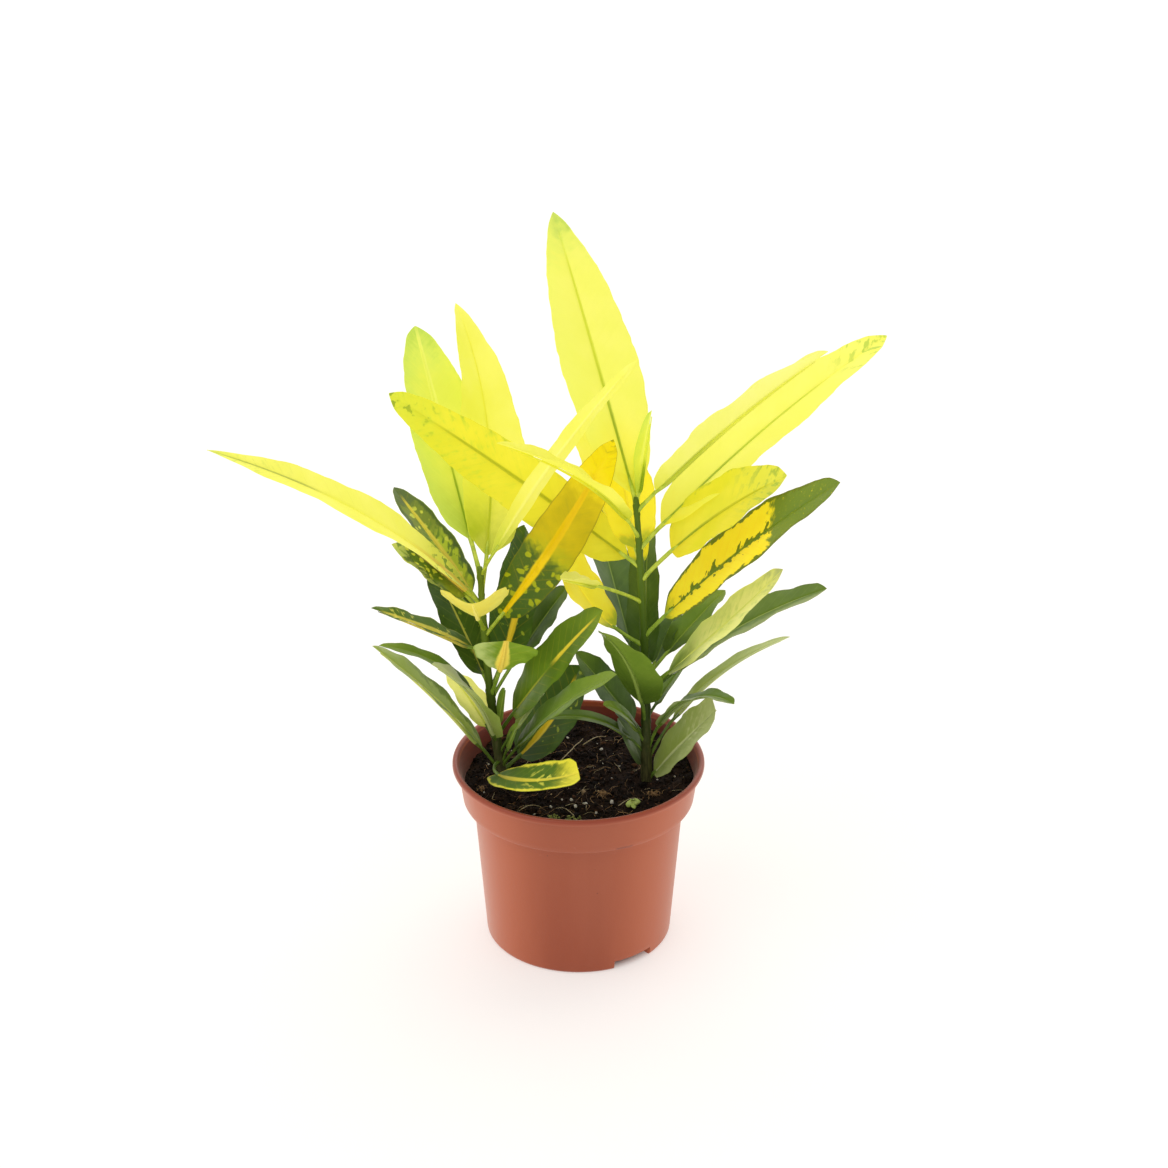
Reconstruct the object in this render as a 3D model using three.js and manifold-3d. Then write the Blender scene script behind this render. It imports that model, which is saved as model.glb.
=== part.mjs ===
// A young croton in its 13 cm grower's pot: two leafy stems rooted in potting soil.
// Millimetres, +Z up. The origin is under the middle of the pot, on the surface that it stands on.
// X runs to the right of the plant as it is usually shown, Y runs away to its back.

import * as THREE from 'three';
import { mergeVertices } from 'three/addons/utils/BufferGeometryUtils.js';
import Module from 'manifold-3d';

const wasm = await Module();
wasm.setup();

// ---------------------------------------------------------------- driving dimensions

const POT = {
  height: 100,
  rimRadius: 65, // outside of the rolled lip
  lipInnerRadius: 62.7,
  lipHeight: 3.5,
  collarTopRadius: 62.2, // the collar tapers from here ...
  collarFootRadius: 59.8, // ... to here, where it steps in to the body
  collarHeight: 21.5,
  bodyTopRadius: 54.5,
  baseRadius: 48.7,
  baseRounding: 2,
  wall: 1.7,
  floor: 2.3,
  sides: 40,
};

// Two drainage channels run under the floor, from a notch in the foot towards the middle.
const DRAIN = {
  count: 2,
  firstTurn: -54, // degrees from +X; the first notch faces the front right
  mouthWidth: 23,
  innerWidth: 18,
  height: 5,
  innerRadius: 22,
  roof: 2, // plastic above the channel, inside the pot
};

const SOIL = {
  level: 88, // under the middle of the rim
  riseRight: 2, // how much higher the surface is at the right wall
  riseBack: 3, // and at the back wall
  clod: 0.7, // height of the coarse lumps
  gap: 0.3, // to the pot and to the stems
  rings: 5,
};

// foot is where a stem leaves the soil, lean how far its tip leans, bow how far it bends between.
const STEMS = {
  left: { foot: [-40, 3], lean: [-9, 0], bow: -1.5, top: 207, footRadius: 2.8, topRadius: 1.6 },
  right: { foot: [35, -4], lean: [-7, 0], bow: 1.5, top: 247, footRadius: 3, topRadius: 1.6 },
};
const STEM = { rootEnd: 60, surface: 90, rings: 7, sides: 7 };

const BLADE = {
  thickness: 0.8,
  endHalfWidth: 0.8, // the tip and the base are this narrow, not sharp
  fold: 10, // degrees that each half rises from the midrib
  wave: 0.7, // height of the ripple along the margins
  ripples: 3,
  peak: 0.8, // below 1 the blade is widest below its middle
  taper: 0.5, // higher is slimmer towards both ends
  crowd: 0.6, // how far the rows of points draw together near both ends
};
const STALK = { radius: 1.1, sides: 4, overlap: 0.1 }; // overlap: share of the blade that it carries

// Every leaf, from the top of the stem down.
// at: height of its foot on the stem. heading: degrees round from +X, then degrees up.
// bend: degrees that it droops and swings round by its tip. size: stalk, blade length, blade width.
// roll: degrees that the blade is turned about its midrib. keep: share left where the tip is cut off.
const LEFT_LEAVES = [
  { at: 202, heading: [111, 44], bend: [-6, 2], size: [19, 119, 43], roll: 17 },
  { at: 201, heading: [-17, 63], bend: [13, -5], size: [14, 133, 11], roll: 64, fold: 14 },
  { at: 192, heading: [74, 55], bend: [10, 48], size: [19, 138, 40], roll: 33 },
  { at: 184, heading: [204, 55], bend: [42, -34], size: [9, 154, 24], roll: -16, fold: 14, taper: 0.8 },
  { at: 184, heading: [155, 52], bend: [21, -24], size: [9, 68, 22], roll: 4, fold: 14 },
  { at: 180, heading: [169, 52], bend: [19, 9], size: [13, 40, 26], roll: -11 },
  { at: 176, heading: [176, 50], bend: [16, -2], size: [15, 46, 20], roll: -10, fold: 14 },
  { at: 172, heading: [262, 42], bend: [-3, 0], size: [19, 21, 38], roll: 5, fold: 28, keep: 0.6 },
  { at: 168, heading: [-12, 53], bend: [-12, 15], size: [14, 112, 27], roll: 88 },
  { at: 158, heading: [201, 34], bend: [8, -8], size: [8, 59, 17], roll: -3, fold: 16 },
  { at: 138, heading: [143, 62], bend: [14, -9], size: [8, 64, 30], roll: 5 },
  { at: 137, heading: [50, 51], bend: [-44, -14], size: [13, 77, 32], roll: 0 },
  { at: 134, heading: [-58, 60], bend: [0, -19], size: [22, 27, 34], roll: -13, fold: -12, keep: 0.4, taper: 1.2 },
  { at: 132, heading: [25, 57], bend: [10, 0], size: [28, 42, 26], roll: 0 },
  { at: 114, heading: [200, 73], bend: [56, 6], size: [28, 61, 11], roll: -17, wave: 0.4 },
  { at: 110, heading: [-29, 59], bend: [9, 6], size: [19, 85, 31], roll: 40 },
  { at: 107, heading: [-60, 80], bend: [10, 0], size: [13, 24, 10], roll: 80, wave: 0 },
  { at: 104, heading: [140, 56], bend: [25, 0], size: [12, 36, 22], roll: 10 },
  { at: 100, heading: [-40, 61], bend: [10, 0], size: [21, 37, 14], roll: 40, wave: 0 },
  { at: 98, heading: [230, 82], bend: [46, -24], size: [13, 65, 24], roll: -9 },
  { at: 92, heading: [-44, 56], bend: [21, 0], size: [19, 98, 18], roll: 38, fold: 16 },
  { at: 92, heading: [-50, 70], bend: [10, 0], size: [14, 21, 9], roll: 65, wave: 0 },
  { at: 96, heading: [-110, 15], bend: [-2, 116], size: [28, 55, 25], roll: 10, fold: 12, keep: 0.75, wave: 0.3 },
  { at: 90, heading: [15, 35], bend: [-30, 16], size: [12, 58, 36], roll: 15 },
  { at: 89, heading: [193, 60], bend: [18, -5], size: [18, 84, 23], roll: -3, fold: 14 },
];
const RIGHT_LEAVES = [
  { at: 243, heading: [118, 57], bend: [10, -5], size: [5, 150, 40], roll: -6, taper: 0.68, wave: 0.8 },
  { at: 242, heading: [60, 74], bend: [4, 0], size: [5, 42, 16], roll: -45, fold: 20, wave: 0 },
  { at: 239, heading: [-16, 51], bend: [12, -1], size: [15, 113, 28], roll: -8, fold: 36, wave: 0.8 },
  { at: 225, heading: [236, 56], bend: [34, -44], size: [15, 91, 18], roll: -3, fold: 24 },
  { at: 219, heading: [22, 43], bend: [15, -1], size: [16, 146, 41], roll: 5 },
  { at: 213, heading: [125, 54], bend: [12, 0], size: [17, 60, 32], roll: 10 },
  { at: 209, heading: [162, 33], bend: [8, -5], size: [8, 145, 32], roll: -83 },
  { at: 202, heading: [-13, 52], bend: [20, -7], size: [23, 73, 37], roll: 33, fold: 16, wave: 0.8 },
  { at: 199, heading: [95, 38], bend: [5, 0], size: [12, 36, 12], roll: -10, wave: 0.3 },
  { at: 213, heading: [122, 66], bend: [1, 0], size: [6, 65, 30], roll: -3 },
  { at: 190, heading: [209, 35], bend: [20, -10], size: [29, 20, 22], roll: 12, fold: 18, wave: 0.5 },
  { at: 171, heading: [-22, 52], bend: [13, -7], size: [17, 124, 34], roll: 35, wave: 0.8 },
  { at: 166, heading: [168, 22], bend: [-50, -30], size: [17, 57, 34], roll: 8 },
  { at: 147, heading: [37, 40], bend: [8, -4], size: [17, 45, 22], roll: -10 },
  { at: 144, heading: [65, 34], bend: [6, 0], size: [13, 39, 20], roll: -30 },
  { at: 141, heading: [-31, 46], bend: [-4, 26], size: [18, 85, 26], roll: 19 },
  { at: 138, heading: [113, 48], bend: [18, -11], size: [25, 108, 34], roll: 38 },
  { at: 137, heading: [-7, 50], bend: [27, 0], size: [19, 92, 33], roll: 1, taper: 0.4 },
  { at: 132, heading: [95, 71], bend: [4, -15], size: [20, 77, 22], roll: -40 },
  { at: 124, heading: [50, 37], bend: [10, 0], size: [10, 29, 14], roll: -30, wave: 0 },
  { at: 114, heading: [241, 84], bend: [40, -19], size: [21, 61, 31], roll: 2 },
  { at: 113, heading: [165, 53], bend: [8, -6], size: [11, 47, 26], roll: -3 },
  { at: 106, heading: [222, 74], bend: [46, 0], size: [14, 35, 12], roll: -30, wave: 0 },
  { at: 102, heading: [186, 65], bend: [94, -12], size: [13, 57, 12], roll: 1, wave: 0 },
  { at: 98, heading: [13, 68], bend: [50, -9], size: [28, 75, 16], roll: -10, wave: 0.3 },
  { at: 95, heading: [-23, 90], bend: [89, -34], size: [28, 64, 16], roll: 1 },
  { at: 92, heading: [160, 72], bend: [20, 0], size: [7, 27, 22], roll: 0, wave: 0 },
  { at: 88, heading: [-18, 55], bend: [4, -3], size: [7, 53, 28], roll: 28, keep: 0.8 },
];

const terracotta = new THREE.MeshStandardMaterial({ color: 0xa35c44, roughness: 0.45, metalness: 0 });
const darkPeat = new THREE.MeshStandardMaterial({ color: 0x2a1c14, roughness: 0.95, metalness: 0 });
const leafYellow = new THREE.MeshStandardMaterial({ color: 0xd9dc52, roughness: 0.4, metalness: 0 });
const leafGreen = new THREE.MeshStandardMaterial({ color: 0x8fae3a, roughness: 0.4, metalness: 0 });

// ---------------------------------------------------------------- solids

// One closed solid from a closed geometry: shared corners are merged and faces point out.
function toSolid(geometry) {
  geometry.deleteAttribute('normal');
  geometry.deleteAttribute('uv');
  const merged = mergeVertices(geometry, 1e-4);
  const position = merged.getAttribute('position');
  const index = merged.getIndex().array;
  const corner = [0, 1, 2].map(() => new THREE.Vector3());
  const triangles = [];
  let volume = 0;
  for (let i = 0; i < index.length; i += 3) {
    const [a, b, c] = [index[i], index[i + 1], index[i + 2]];
    if (a === b || b === c || c === a) continue;
    triangles.push([a, b, c]);
    corner.forEach((point, k) => point.fromBufferAttribute(position, index[i + k]));
    volume += corner[0].dot(corner[1].cross(corner[2]));
  }
  const outward = volume < 0 ? triangles.map(([a, b, c]) => [a, c, b]) : triangles;
  const mesh = new wasm.Mesh({
    numProp: 3,
    vertProperties: new Float32Array(position.array),
    triVerts: new Uint32Array(outward.flat()),
  });
  return new wasm.Manifold(mesh);
}

function toMesh(name, solid, material) {
  const { vertProperties, triVerts } = solid.getMesh();
  const geometry = new THREE.BufferGeometry();
  geometry.setAttribute('position', new THREE.BufferAttribute(vertProperties, 3));
  geometry.setIndex(new THREE.BufferAttribute(triVerts, 1));
  geometry.computeVertexNormals();
  const mesh = new THREE.Mesh(geometry, material);
  mesh.name = name;
  return mesh;
}

// A turned solid about +Z from [radius, height] points.
function turned(profile, sides) {
  const points = profile.map(([radius, height]) => new THREE.Vector2(radius, height));
  return new THREE.LatheGeometry(points, sides).rotateX(Math.PI / 2);
}

function moveVertices(geometry, move) {
  const position = geometry.getAttribute('position');
  const point = new THREE.Vector3();
  for (let i = 0; i < position.count; i++) {
    move(point.fromBufferAttribute(position, i));
    position.setXYZ(i, point.x, point.y, point.z);
  }
  return geometry;
}

// ---------------------------------------------------------------- pot

const collarFoot = POT.height - POT.collarHeight;
const lipFoot = POT.height - POT.lipHeight;

// Inside of the wall, from the floor to under the lip.
function innerWall(inset) {
  return [
    [POT.baseRadius - POT.wall - inset, POT.floor + inset],
    [POT.bodyTopRadius - POT.wall - inset, collarFoot + 1.3 * inset],
    [POT.collarFootRadius - POT.wall - 1.3 * inset, collarFoot + 3 + 1.3 * inset],
    [POT.collarTopRadius - POT.wall - inset, lipFoot],
  ];
}

// Half of a drainage channel's width at a distance from the middle.
function channelHalfWidth(radius) {
  const share = (radius - DRAIN.innerRadius) / (POT.baseRadius - DRAIN.innerRadius);
  return THREE.MathUtils.lerp(DRAIN.innerWidth, DRAIN.mouthWidth, share) / 2;
}

// A wedge that runs out from the middle along +X, for a drainage channel or its roof.
// Its outer end is round, so that the corners of a roof stay inside the wall.
function channelGeometry(grow, bottom, top, innerRadius, outerRadius) {
  const inner = channelHalfWidth(innerRadius) + grow;
  // Half of the angle that the mouth takes up; it settles within four rounds.
  let reach = 0;
  for (let round = 0; round < 4; round++) {
    reach = Math.asin((channelHalfWidth(outerRadius * Math.cos(reach)) + grow) / outerRadius);
  }
  const outline = new THREE.Shape();
  outline.moveTo(innerRadius, inner);
  outline.lineTo(innerRadius, -inner);
  outline.absarc(0, 0, outerRadius, -reach, reach, false);
  outline.closePath();
  const settings = { depth: top - bottom, curveSegments: 6, bevelEnabled: false };
  return new THREE.ExtrudeGeometry(outline, settings).translate(0, 0, bottom);
}

function eachDrain(makeGeometry) {
  const turns = Array.from({ length: DRAIN.count }, (_, i) => DRAIN.firstTurn + (360 / DRAIN.count) * i);
  return turns.map((turn) => toSolid(makeGeometry().rotateZ(THREE.MathUtils.degToRad(turn))));
}

const roofTop = DRAIN.height + DRAIN.roof;
const roofInner = DRAIN.innerRadius - DRAIN.roof;
// The roof's outer end stays inside the wall, whose outside is a little wider up there.
const roofOuter = POT.baseRadius - POT.wall / 2;

function potSolid() {
  const inside = innerWall(0).reverse();
  const profile = [
    [0, 0],
    [POT.baseRadius - POT.baseRounding, 0],
    [POT.baseRadius - POT.baseRounding * 0.3, POT.baseRounding * 0.3],
    [POT.baseRadius, POT.baseRounding],
    [POT.bodyTopRadius, collarFoot],
    [POT.collarFootRadius - 0.5, collarFoot],
    [POT.collarFootRadius, collarFoot + 0.8],
    [POT.collarTopRadius, lipFoot],
    [POT.rimRadius - 0.7, lipFoot + 0.2],
    [POT.rimRadius, lipFoot + 1.2],
    [POT.rimRadius - 0.2, POT.height - 0.8],
    [POT.rimRadius - 1, POT.height],
    [POT.lipInnerRadius + 0.4, POT.height],
    [POT.lipInnerRadius - 0.4, POT.height - 1],
    ...inside,
    [0, POT.floor],
  ];
  let pot = toSolid(turned(profile, POT.sides));
  for (const roof of eachDrain(() => channelGeometry(DRAIN.roof, 1, roofTop, roofInner, roofOuter))) {
    pot = pot.add(roof);
  }
  const past = POT.baseRadius + 5;
  for (const channel of eachDrain(() => channelGeometry(0, -1, DRAIN.height, DRAIN.innerRadius, past))) {
    pot = pot.subtract(channel);
  }
  return pot;
}

// ---------------------------------------------------------------- soil

function soilHeight(x, y) {
  const slope = (SOIL.riseRight * x + SOIL.riseBack * y) / POT.collarTopRadius;
  const lumps = Math.sin(x * 0.21 + 1) * Math.cos(y * 0.26) + 0.5 * Math.sin(x * 0.47 - y * 0.39);
  return SOIL.level + slope + SOIL.clod * lumps;
}

function soilSolid() {
  const wall = innerWall(SOIL.gap);
  const collar = wall[3][0] - wall[2][0];
  const lowest = SOIL.level - SOIL.riseRight - SOIL.riseBack - SOIL.clod;
  const share = (lowest - wall[2][1]) / (wall[3][1] - wall[2][1]);
  const rim = wall[2][0] + collar * share - SOIL.gap;
  const surface = Array.from({ length: SOIL.rings }, (_, i) => [rim * (1 - i / SOIL.rings), SOIL.level]);
  const profile = [[0, wall[0][1]], ...wall.slice(0, 3), ...surface, [0, SOIL.level]];
  const geometry = moveVertices(turned(profile, POT.sides), (point) => {
    if (point.z > SOIL.level - 0.01) point.z = soilHeight(point.x, point.y);
  });
  let soil = toSolid(geometry);
  const grown = DRAIN.roof + SOIL.gap;
  const top = roofTop + SOIL.gap;
  for (const roof of eachDrain(() => channelGeometry(grown, 0, top, roofInner - SOIL.gap, POT.rimRadius))) {
    soil = soil.subtract(roof);
  }
  for (const { foot, footRadius } of Object.values(STEMS)) {
    const depth = POT.height - STEM.rootEnd + SOIL.gap;
    const radius = footRadius + 1.3 * SOIL.gap;
    const hole = new THREE.CylinderGeometry(radius, radius, depth, 16).rotateX(Math.PI / 2);
    hole.translate(foot[0], foot[1], POT.height - depth / 2);
    soil = soil.subtract(toSolid(hole));
  }
  return soil;
}

// ---------------------------------------------------------------- stems and leaves

// Centre of a stem at a height. It is upright in the soil and leans and bows above it.
function stemCentre(stem, height) {
  const share = Math.max(0, (height - STEM.surface) / (stem.top - STEM.surface));
  const bow = stem.bow * Math.sin(Math.PI * Math.min(share, 1));
  return new THREE.Vector3(stem.foot[0] + stem.lean[0] * share + bow, stem.foot[1] + stem.lean[1] * share, height);
}

function stemSolid(stem) {
  const profile = [[0, STEM.rootEnd], [stem.footRadius, STEM.rootEnd]];
  for (let ring = 0; ring <= STEM.rings; ring++) {
    const share = ring / STEM.rings;
    const radius = THREE.MathUtils.lerp(stem.footRadius, stem.topRadius, share);
    profile.push([radius, THREE.MathUtils.lerp(STEM.surface, stem.top, share)]);
  }
  profile.push([0, stem.top + stem.topRadius]);
  const geometry = moveVertices(turned(profile, STEM.sides), (point) => {
    const centre = stemCentre(stem, point.z);
    point.x += centre.x;
    point.y += centre.y;
  });
  return toSolid(geometry);
}

// Direction of a leaf's midrib at a share of its whole length, with its side and its upper face.
function leafFrame(leaf, share) {
  const turn = THREE.MathUtils.degToRad(leaf.heading[0] + leaf.bend[1] * share);
  const rise = THREE.MathUtils.degToRad(leaf.heading[1] - leaf.bend[0] * share);
  const along = new THREE.Vector3(
    Math.cos(rise) * Math.cos(turn),
    Math.cos(rise) * Math.sin(turn),
    Math.sin(rise),
  );
  const side = new THREE.Vector3(Math.sin(turn), -Math.cos(turn), 0);
  side.applyAxisAngle(along, THREE.MathUtils.degToRad(leaf.roll));
  return { along, side, face: side.clone().cross(along) };
}

// Points along a leaf's midrib from the middle of the stem to its tip, in equal steps.
function midribPoints(stem, leaf) {
  const steps = 48;
  const step = (leaf.size[0] + leaf.size[1]) / steps;
  const points = [stemCentre(stem, leaf.at)];
  for (let i = 0; i < steps; i++) {
    const { along } = leafFrame(leaf, (i + 0.5) / steps);
    points.push(points[i].clone().addScaledVector(along, step));
  }
  return points;
}

function pointAt(points, share) {
  const place = share * (points.length - 1);
  const i = Math.min(Math.floor(place), points.length - 2);
  return points[i].clone().lerp(points[i + 1], place - i);
}

function halfWidth(leaf, t) {
  const outline = Math.sin(Math.PI * (t * (leaf.keep ?? 1)) ** BLADE.peak);
  return Math.max(BLADE.endHalfWidth, (leaf.size[2] / 2) * Math.max(0, outline) ** (leaf.taper ?? BLADE.taper));
}

// A folded blade with rippled margins: both faces have the same grid and the same diagonals.
function bladeSolid(leaf, midrib) {
  const [stalk, length, width] = leaf.size;
  const rows = Math.round(3 + length / 32);
  const columns = width >= 34 ? 4 : 2;
  const fold = THREE.MathUtils.degToRad(leaf.fold ?? BLADE.fold);
  const positions = [];
  for (const lift of [BLADE.thickness / 2, -BLADE.thickness / 2]) {
    for (let row = 0; row <= rows; row++) {
      const even = row / rows;
      const t = even - (BLADE.crowd * Math.sin(2 * Math.PI * even)) / (2 * Math.PI);
      const share = (stalk + t * length) / (stalk + length);
      const centre = pointAt(midrib, share);
      const { side, face } = leafFrame(leaf, share);
      for (let column = 0; column <= columns; column++) {
        const across = (2 * column) / columns - 1;
        const reach = Math.abs(across) * halfWidth(leaf, t);
        const calm = Math.min(1, 4 * t, 4 * (1 - t) + 0.2);
        const phase = 2 * Math.PI * BLADE.ripples * t + (across > 0 ? 0 : 2);
        const ripple = (leaf.wave ?? BLADE.wave) * across ** 2 * Math.sin(phase) * calm;
        const point = centre.clone().addScaledVector(side, Math.sign(across) * reach * Math.cos(fold));
        point.addScaledVector(face, reach * Math.sin(fold) + ripple + lift);
        positions.push(point.x, point.y, point.z);
      }
    }
  }
  const across = columns + 1;
  const under = (rows + 1) * across;
  const index = [];
  const quad = (a, b, c, d) => index.push(a, b, c, a, c, d);
  for (let row = 0; row < rows; row++) {
    for (let column = 0; column < columns; column++) {
      const a = row * across + column;
      quad(a, a + across, a + across + 1, a + 1);
      index.push(under + a, under + a + across + 1, under + a + across);
      index.push(under + a, under + a + 1, under + a + across + 1);
    }
    const left = row * across;
    const right = left + columns;
    quad(left, under + left, under + left + across, left + across);
    quad(right, right + across, under + right + across, under + right);
  }
  for (let column = 0; column < columns; column++) {
    const base = column;
    const tip = rows * across + column;
    quad(base, base + 1, under + base + 1, under + base);
    quad(tip, under + tip, under + tip + 1, tip + 1);
  }
  const geometry = new THREE.BufferGeometry();
  geometry.setAttribute('position', new THREE.Float32BufferAttribute(positions, 3));
  geometry.setIndex(index);
  return toSolid(geometry);
}

// The stalk runs from the middle of the stem into the lower part of the blade.
function stalkSolid(leaf, midrib) {
  const [stalk, length] = leaf.size;
  const end = (stalk + STALK.overlap * length) / (stalk + length);
  const steps = 3;
  const points = Array.from({ length: steps + 1 }, (_, i) => pointAt(midrib, (end * i) / steps));
  const section = new THREE.Shape();
  for (let i = 0; i < STALK.sides; i++) {
    const angle = (2 * Math.PI * i) / STALK.sides;
    const corner = [STALK.radius * Math.cos(angle), STALK.radius * Math.sin(angle)];
    if (i === 0) section.moveTo(...corner);
    else section.lineTo(...corner);
  }
  section.closePath();
  const extrudePath = new THREE.CatmullRomCurve3(points);
  return toSolid(new THREE.ExtrudeGeometry(section, { steps, extrudePath }));
}

function leafyStem(stem, leaves) {
  let plant = stemSolid(stem);
  for (const leaf of leaves) {
    const midrib = midribPoints(stem, leaf);
    plant = plant.add(stalkSolid(leaf, midrib)).add(bladeSolid(leaf, midrib));
  }
  return plant;
}

// ---------------------------------------------------------------- the potted plant

const group = new THREE.Group();
group.add(toMesh('pot', potSolid(), terracotta));
group.add(toMesh('soil', soilSolid(), darkPeat));
group.add(toMesh('left_leafy_stem', leafyStem(STEMS.left, LEFT_LEAVES), leafYellow));
group.add(toMesh('right_leafy_stem', leafyStem(STEMS.right, RIGHT_LEAVES), leafGreen));

export default group;
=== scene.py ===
import math
import random
import bmesh
import bpy
import numpy as np
from mathutils import Matrix, Vector, noise


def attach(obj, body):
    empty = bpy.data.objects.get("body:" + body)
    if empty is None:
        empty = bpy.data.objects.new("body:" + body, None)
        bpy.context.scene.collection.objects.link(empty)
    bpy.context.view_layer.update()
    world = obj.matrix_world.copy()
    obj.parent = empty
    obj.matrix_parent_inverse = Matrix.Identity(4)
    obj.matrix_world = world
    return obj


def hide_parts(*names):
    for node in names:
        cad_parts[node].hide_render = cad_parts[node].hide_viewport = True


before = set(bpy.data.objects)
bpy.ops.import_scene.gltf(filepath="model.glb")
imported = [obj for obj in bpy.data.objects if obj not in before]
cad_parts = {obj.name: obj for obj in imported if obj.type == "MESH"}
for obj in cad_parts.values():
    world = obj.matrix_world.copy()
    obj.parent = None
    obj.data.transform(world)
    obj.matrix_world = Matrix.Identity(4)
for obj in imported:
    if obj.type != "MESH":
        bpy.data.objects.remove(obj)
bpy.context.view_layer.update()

mm = 0.001
scene = bpy.context.scene


class Value:
    # a socket that can be used in sums; each operator adds a Math node
    def __init__(self, paint, socket):
        self.paint, self.socket = paint, socket

    def maths(self, operation, *terms):
        return self.paint.node("ShaderNodeMath", {"operation": operation}, dict(enumerate(terms)))

    def __add__(self, other): return self.maths("ADD", self, other)
    def __radd__(self, other): return self.maths("ADD", other, self)
    def __sub__(self, other): return self.maths("SUBTRACT", self, other)
    def __rsub__(self, other): return self.maths("SUBTRACT", other, self)
    def __mul__(self, other): return self.maths("MULTIPLY", self, other)
    def __rmul__(self, other): return self.maths("MULTIPLY", other, self)
    def __truediv__(self, other): return self.maths("DIVIDE", self, other)
    def __rtruediv__(self, other): return self.maths("DIVIDE", other, self)
    def most(self, other): return self.maths("MAXIMUM", self, other)
    def size(self): return self.maths("ABSOLUTE", self)
    def triangle(self, period): return self.maths("PINGPONG", self, period)


def tone(red, green, blue):  # from ordinary 0 to 255 screen values
    def straight(c):
        c = c / 255
        return c / 12.92 if c <= 0.04045 else ((c + 0.055) / 1.055) ** 2.4
    return (straight(red), straight(green), straight(blue), 1.0)


class Paint:
    # one material and the nodes in it
    def __init__(self, name):
        self.material = bpy.data.materials.new(name)
        self.material.use_nodes = True
        self.tree = self.material.node_tree
        self.tree.nodes.clear()

    def node(self, kind, settings=None, inputs=None, output=0):
        made = self.tree.nodes.new(kind)
        for key, setting in (settings or {}).items():
            setattr(made, key, setting)
        for key, given in (inputs or {}).items():
            if isinstance(given, Value):
                self.tree.links.new(given.socket, made.inputs[key])
            else:
                made.inputs[key].default_value = given
        return Value(self, made.outputs[output])

    def place(self):  # metres, in the object's own frame
        return self.node("ShaderNodeTexCoord", output=3)

    def attribute(self, name):  # values that a mesh carries at its points
        return self.node("ShaderNodeAttribute", {"attribute_name": name}, output=1)

    def parts(self, vector):
        first = self.node("ShaderNodeSeparateXYZ", None, {0: vector})
        return [Value(self, first.socket.node.outputs[i]) for i in range(3)]

    def vector(self, x, y, z):
        return self.node("ShaderNodeCombineXYZ", None, {0: x, 1: y, 2: z})

    def stretch(self, vector, scale):
        return self.node("ShaderNodeVectorMath", {"operation": "MULTIPLY"}, {0: vector, 1: scale})

    def length(self, vector):
        return self.node("ShaderNodeVectorMath", {"operation": "LENGTH"}, {0: vector}, 1)

    def clouds(self, vector, scale, detail=3.0, roughness=0.55):
        wanted = {"Vector": vector, "Scale": scale, "Detail": detail, "Roughness": roughness}
        return self.node("ShaderNodeTexNoise", {"noise_dimensions": "3D"}, wanted)

    def cells(self, vector, scale):
        return self.node("ShaderNodeTexVoronoi", {"feature": "F1"}, {"Vector": vector, "Scale": scale})

    def step(self, value, low, high, start=0.0, end=1.0):  # a soft step from start to end
        wanted = {"Value": value, "From Min": low, "From Max": high, "To Min": start, "To Max": end}
        return self.node("ShaderNodeMapRange", {"interpolation_type": "SMOOTHSTEP"}, wanted)

    def fade(self, value, low, high):
        return self.step(value, low, high, 1.0, 0.0)

    def blend(self, share, first, second):
        # of two sockets or screen colours; 6, 7 and 2 are the Mix node's sockets for colours
        first, second = [one if isinstance(one, Value) else tone(*one) for one in (first, second)]
        return self.node("ShaderNodeMix", {"data_type": "RGBA"}, {0: share, 6: first, 7: second}, 2)

    def bump(self, height, distance, strength=1.0):
        wanted = {"Height": height, "Distance": distance, "Strength": strength}
        return self.node("ShaderNodeBump", None, wanted)

    def surface(self, **sockets):
        wanted = {key.replace("_", " "): given for key, given in sockets.items()}
        return self.node("ShaderNodeBsdfPrincipled", None, wanted)

    def finish(self, shader):
        end = self.tree.nodes.new("ShaderNodeOutputMaterial")
        self.tree.links.new(shader.socket, end.inputs["Surface"])
        return self.material


def makePiece(name, points, faces, materials, faceMaterials=None, extras=None, node=None):
    # points are in mm; extras are values that the materials read at each point
    mesh = bpy.data.meshes.new(name)
    mesh.from_pydata((np.asarray(points) * mm).tolist(), [], faces)
    for key, values in (extras or {}).items():
        values = np.asarray(values, dtype=np.float32)
        layer = mesh.attributes.new(key, "FLOAT_VECTOR", "POINT")
        layer.data.foreach_set("vector", values.ravel())
    for material in materials:
        mesh.materials.append(material)
    if faceMaterials is not None:
        mesh.polygons.foreach_set("material_index", faceMaterials)
    mesh.polygons.foreach_set("use_smooth", [True] * len(mesh.polygons))
    mesh.update()
    piece = bpy.data.objects.new(name, mesh)
    scene.collection.objects.link(piece)
    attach(piece, "root")
    if node:
        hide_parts(node)
    return piece


def circle(radius, count):
    angles = [2 * math.pi * i / count for i in range(count)]
    return [(radius * math.cos(angle), radius * math.sin(angle)) for angle in angles]


def tubeGrid(centres, radii, sideAxes, faceAxes, sides):
    # rings of points round a path; the caller gives the two axes across it at each point
    angles = np.linspace(0, 2 * math.pi, sides, endpoint=False)[None, :, None]
    ring = np.cos(angles) * sideAxes[:, None, :] + np.sin(angles) * faceAxes[:, None, :]
    points = centres[:, None, :] + radii[:, None, None] * ring
    count = len(centres)
    faces = []
    for i in range(count - 1):
        for j in range(sides):
            k = (j + 1) % sides
            faces.append((i * sides + j, i * sides + k, (i + 1) * sides + k, (i + 1) * sides + j))
    faces.append(tuple(reversed(range(sides))))
    faces.append(tuple(range((count - 1) * sides, count * sides)))
    return points.reshape(-1, 3), faces


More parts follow.
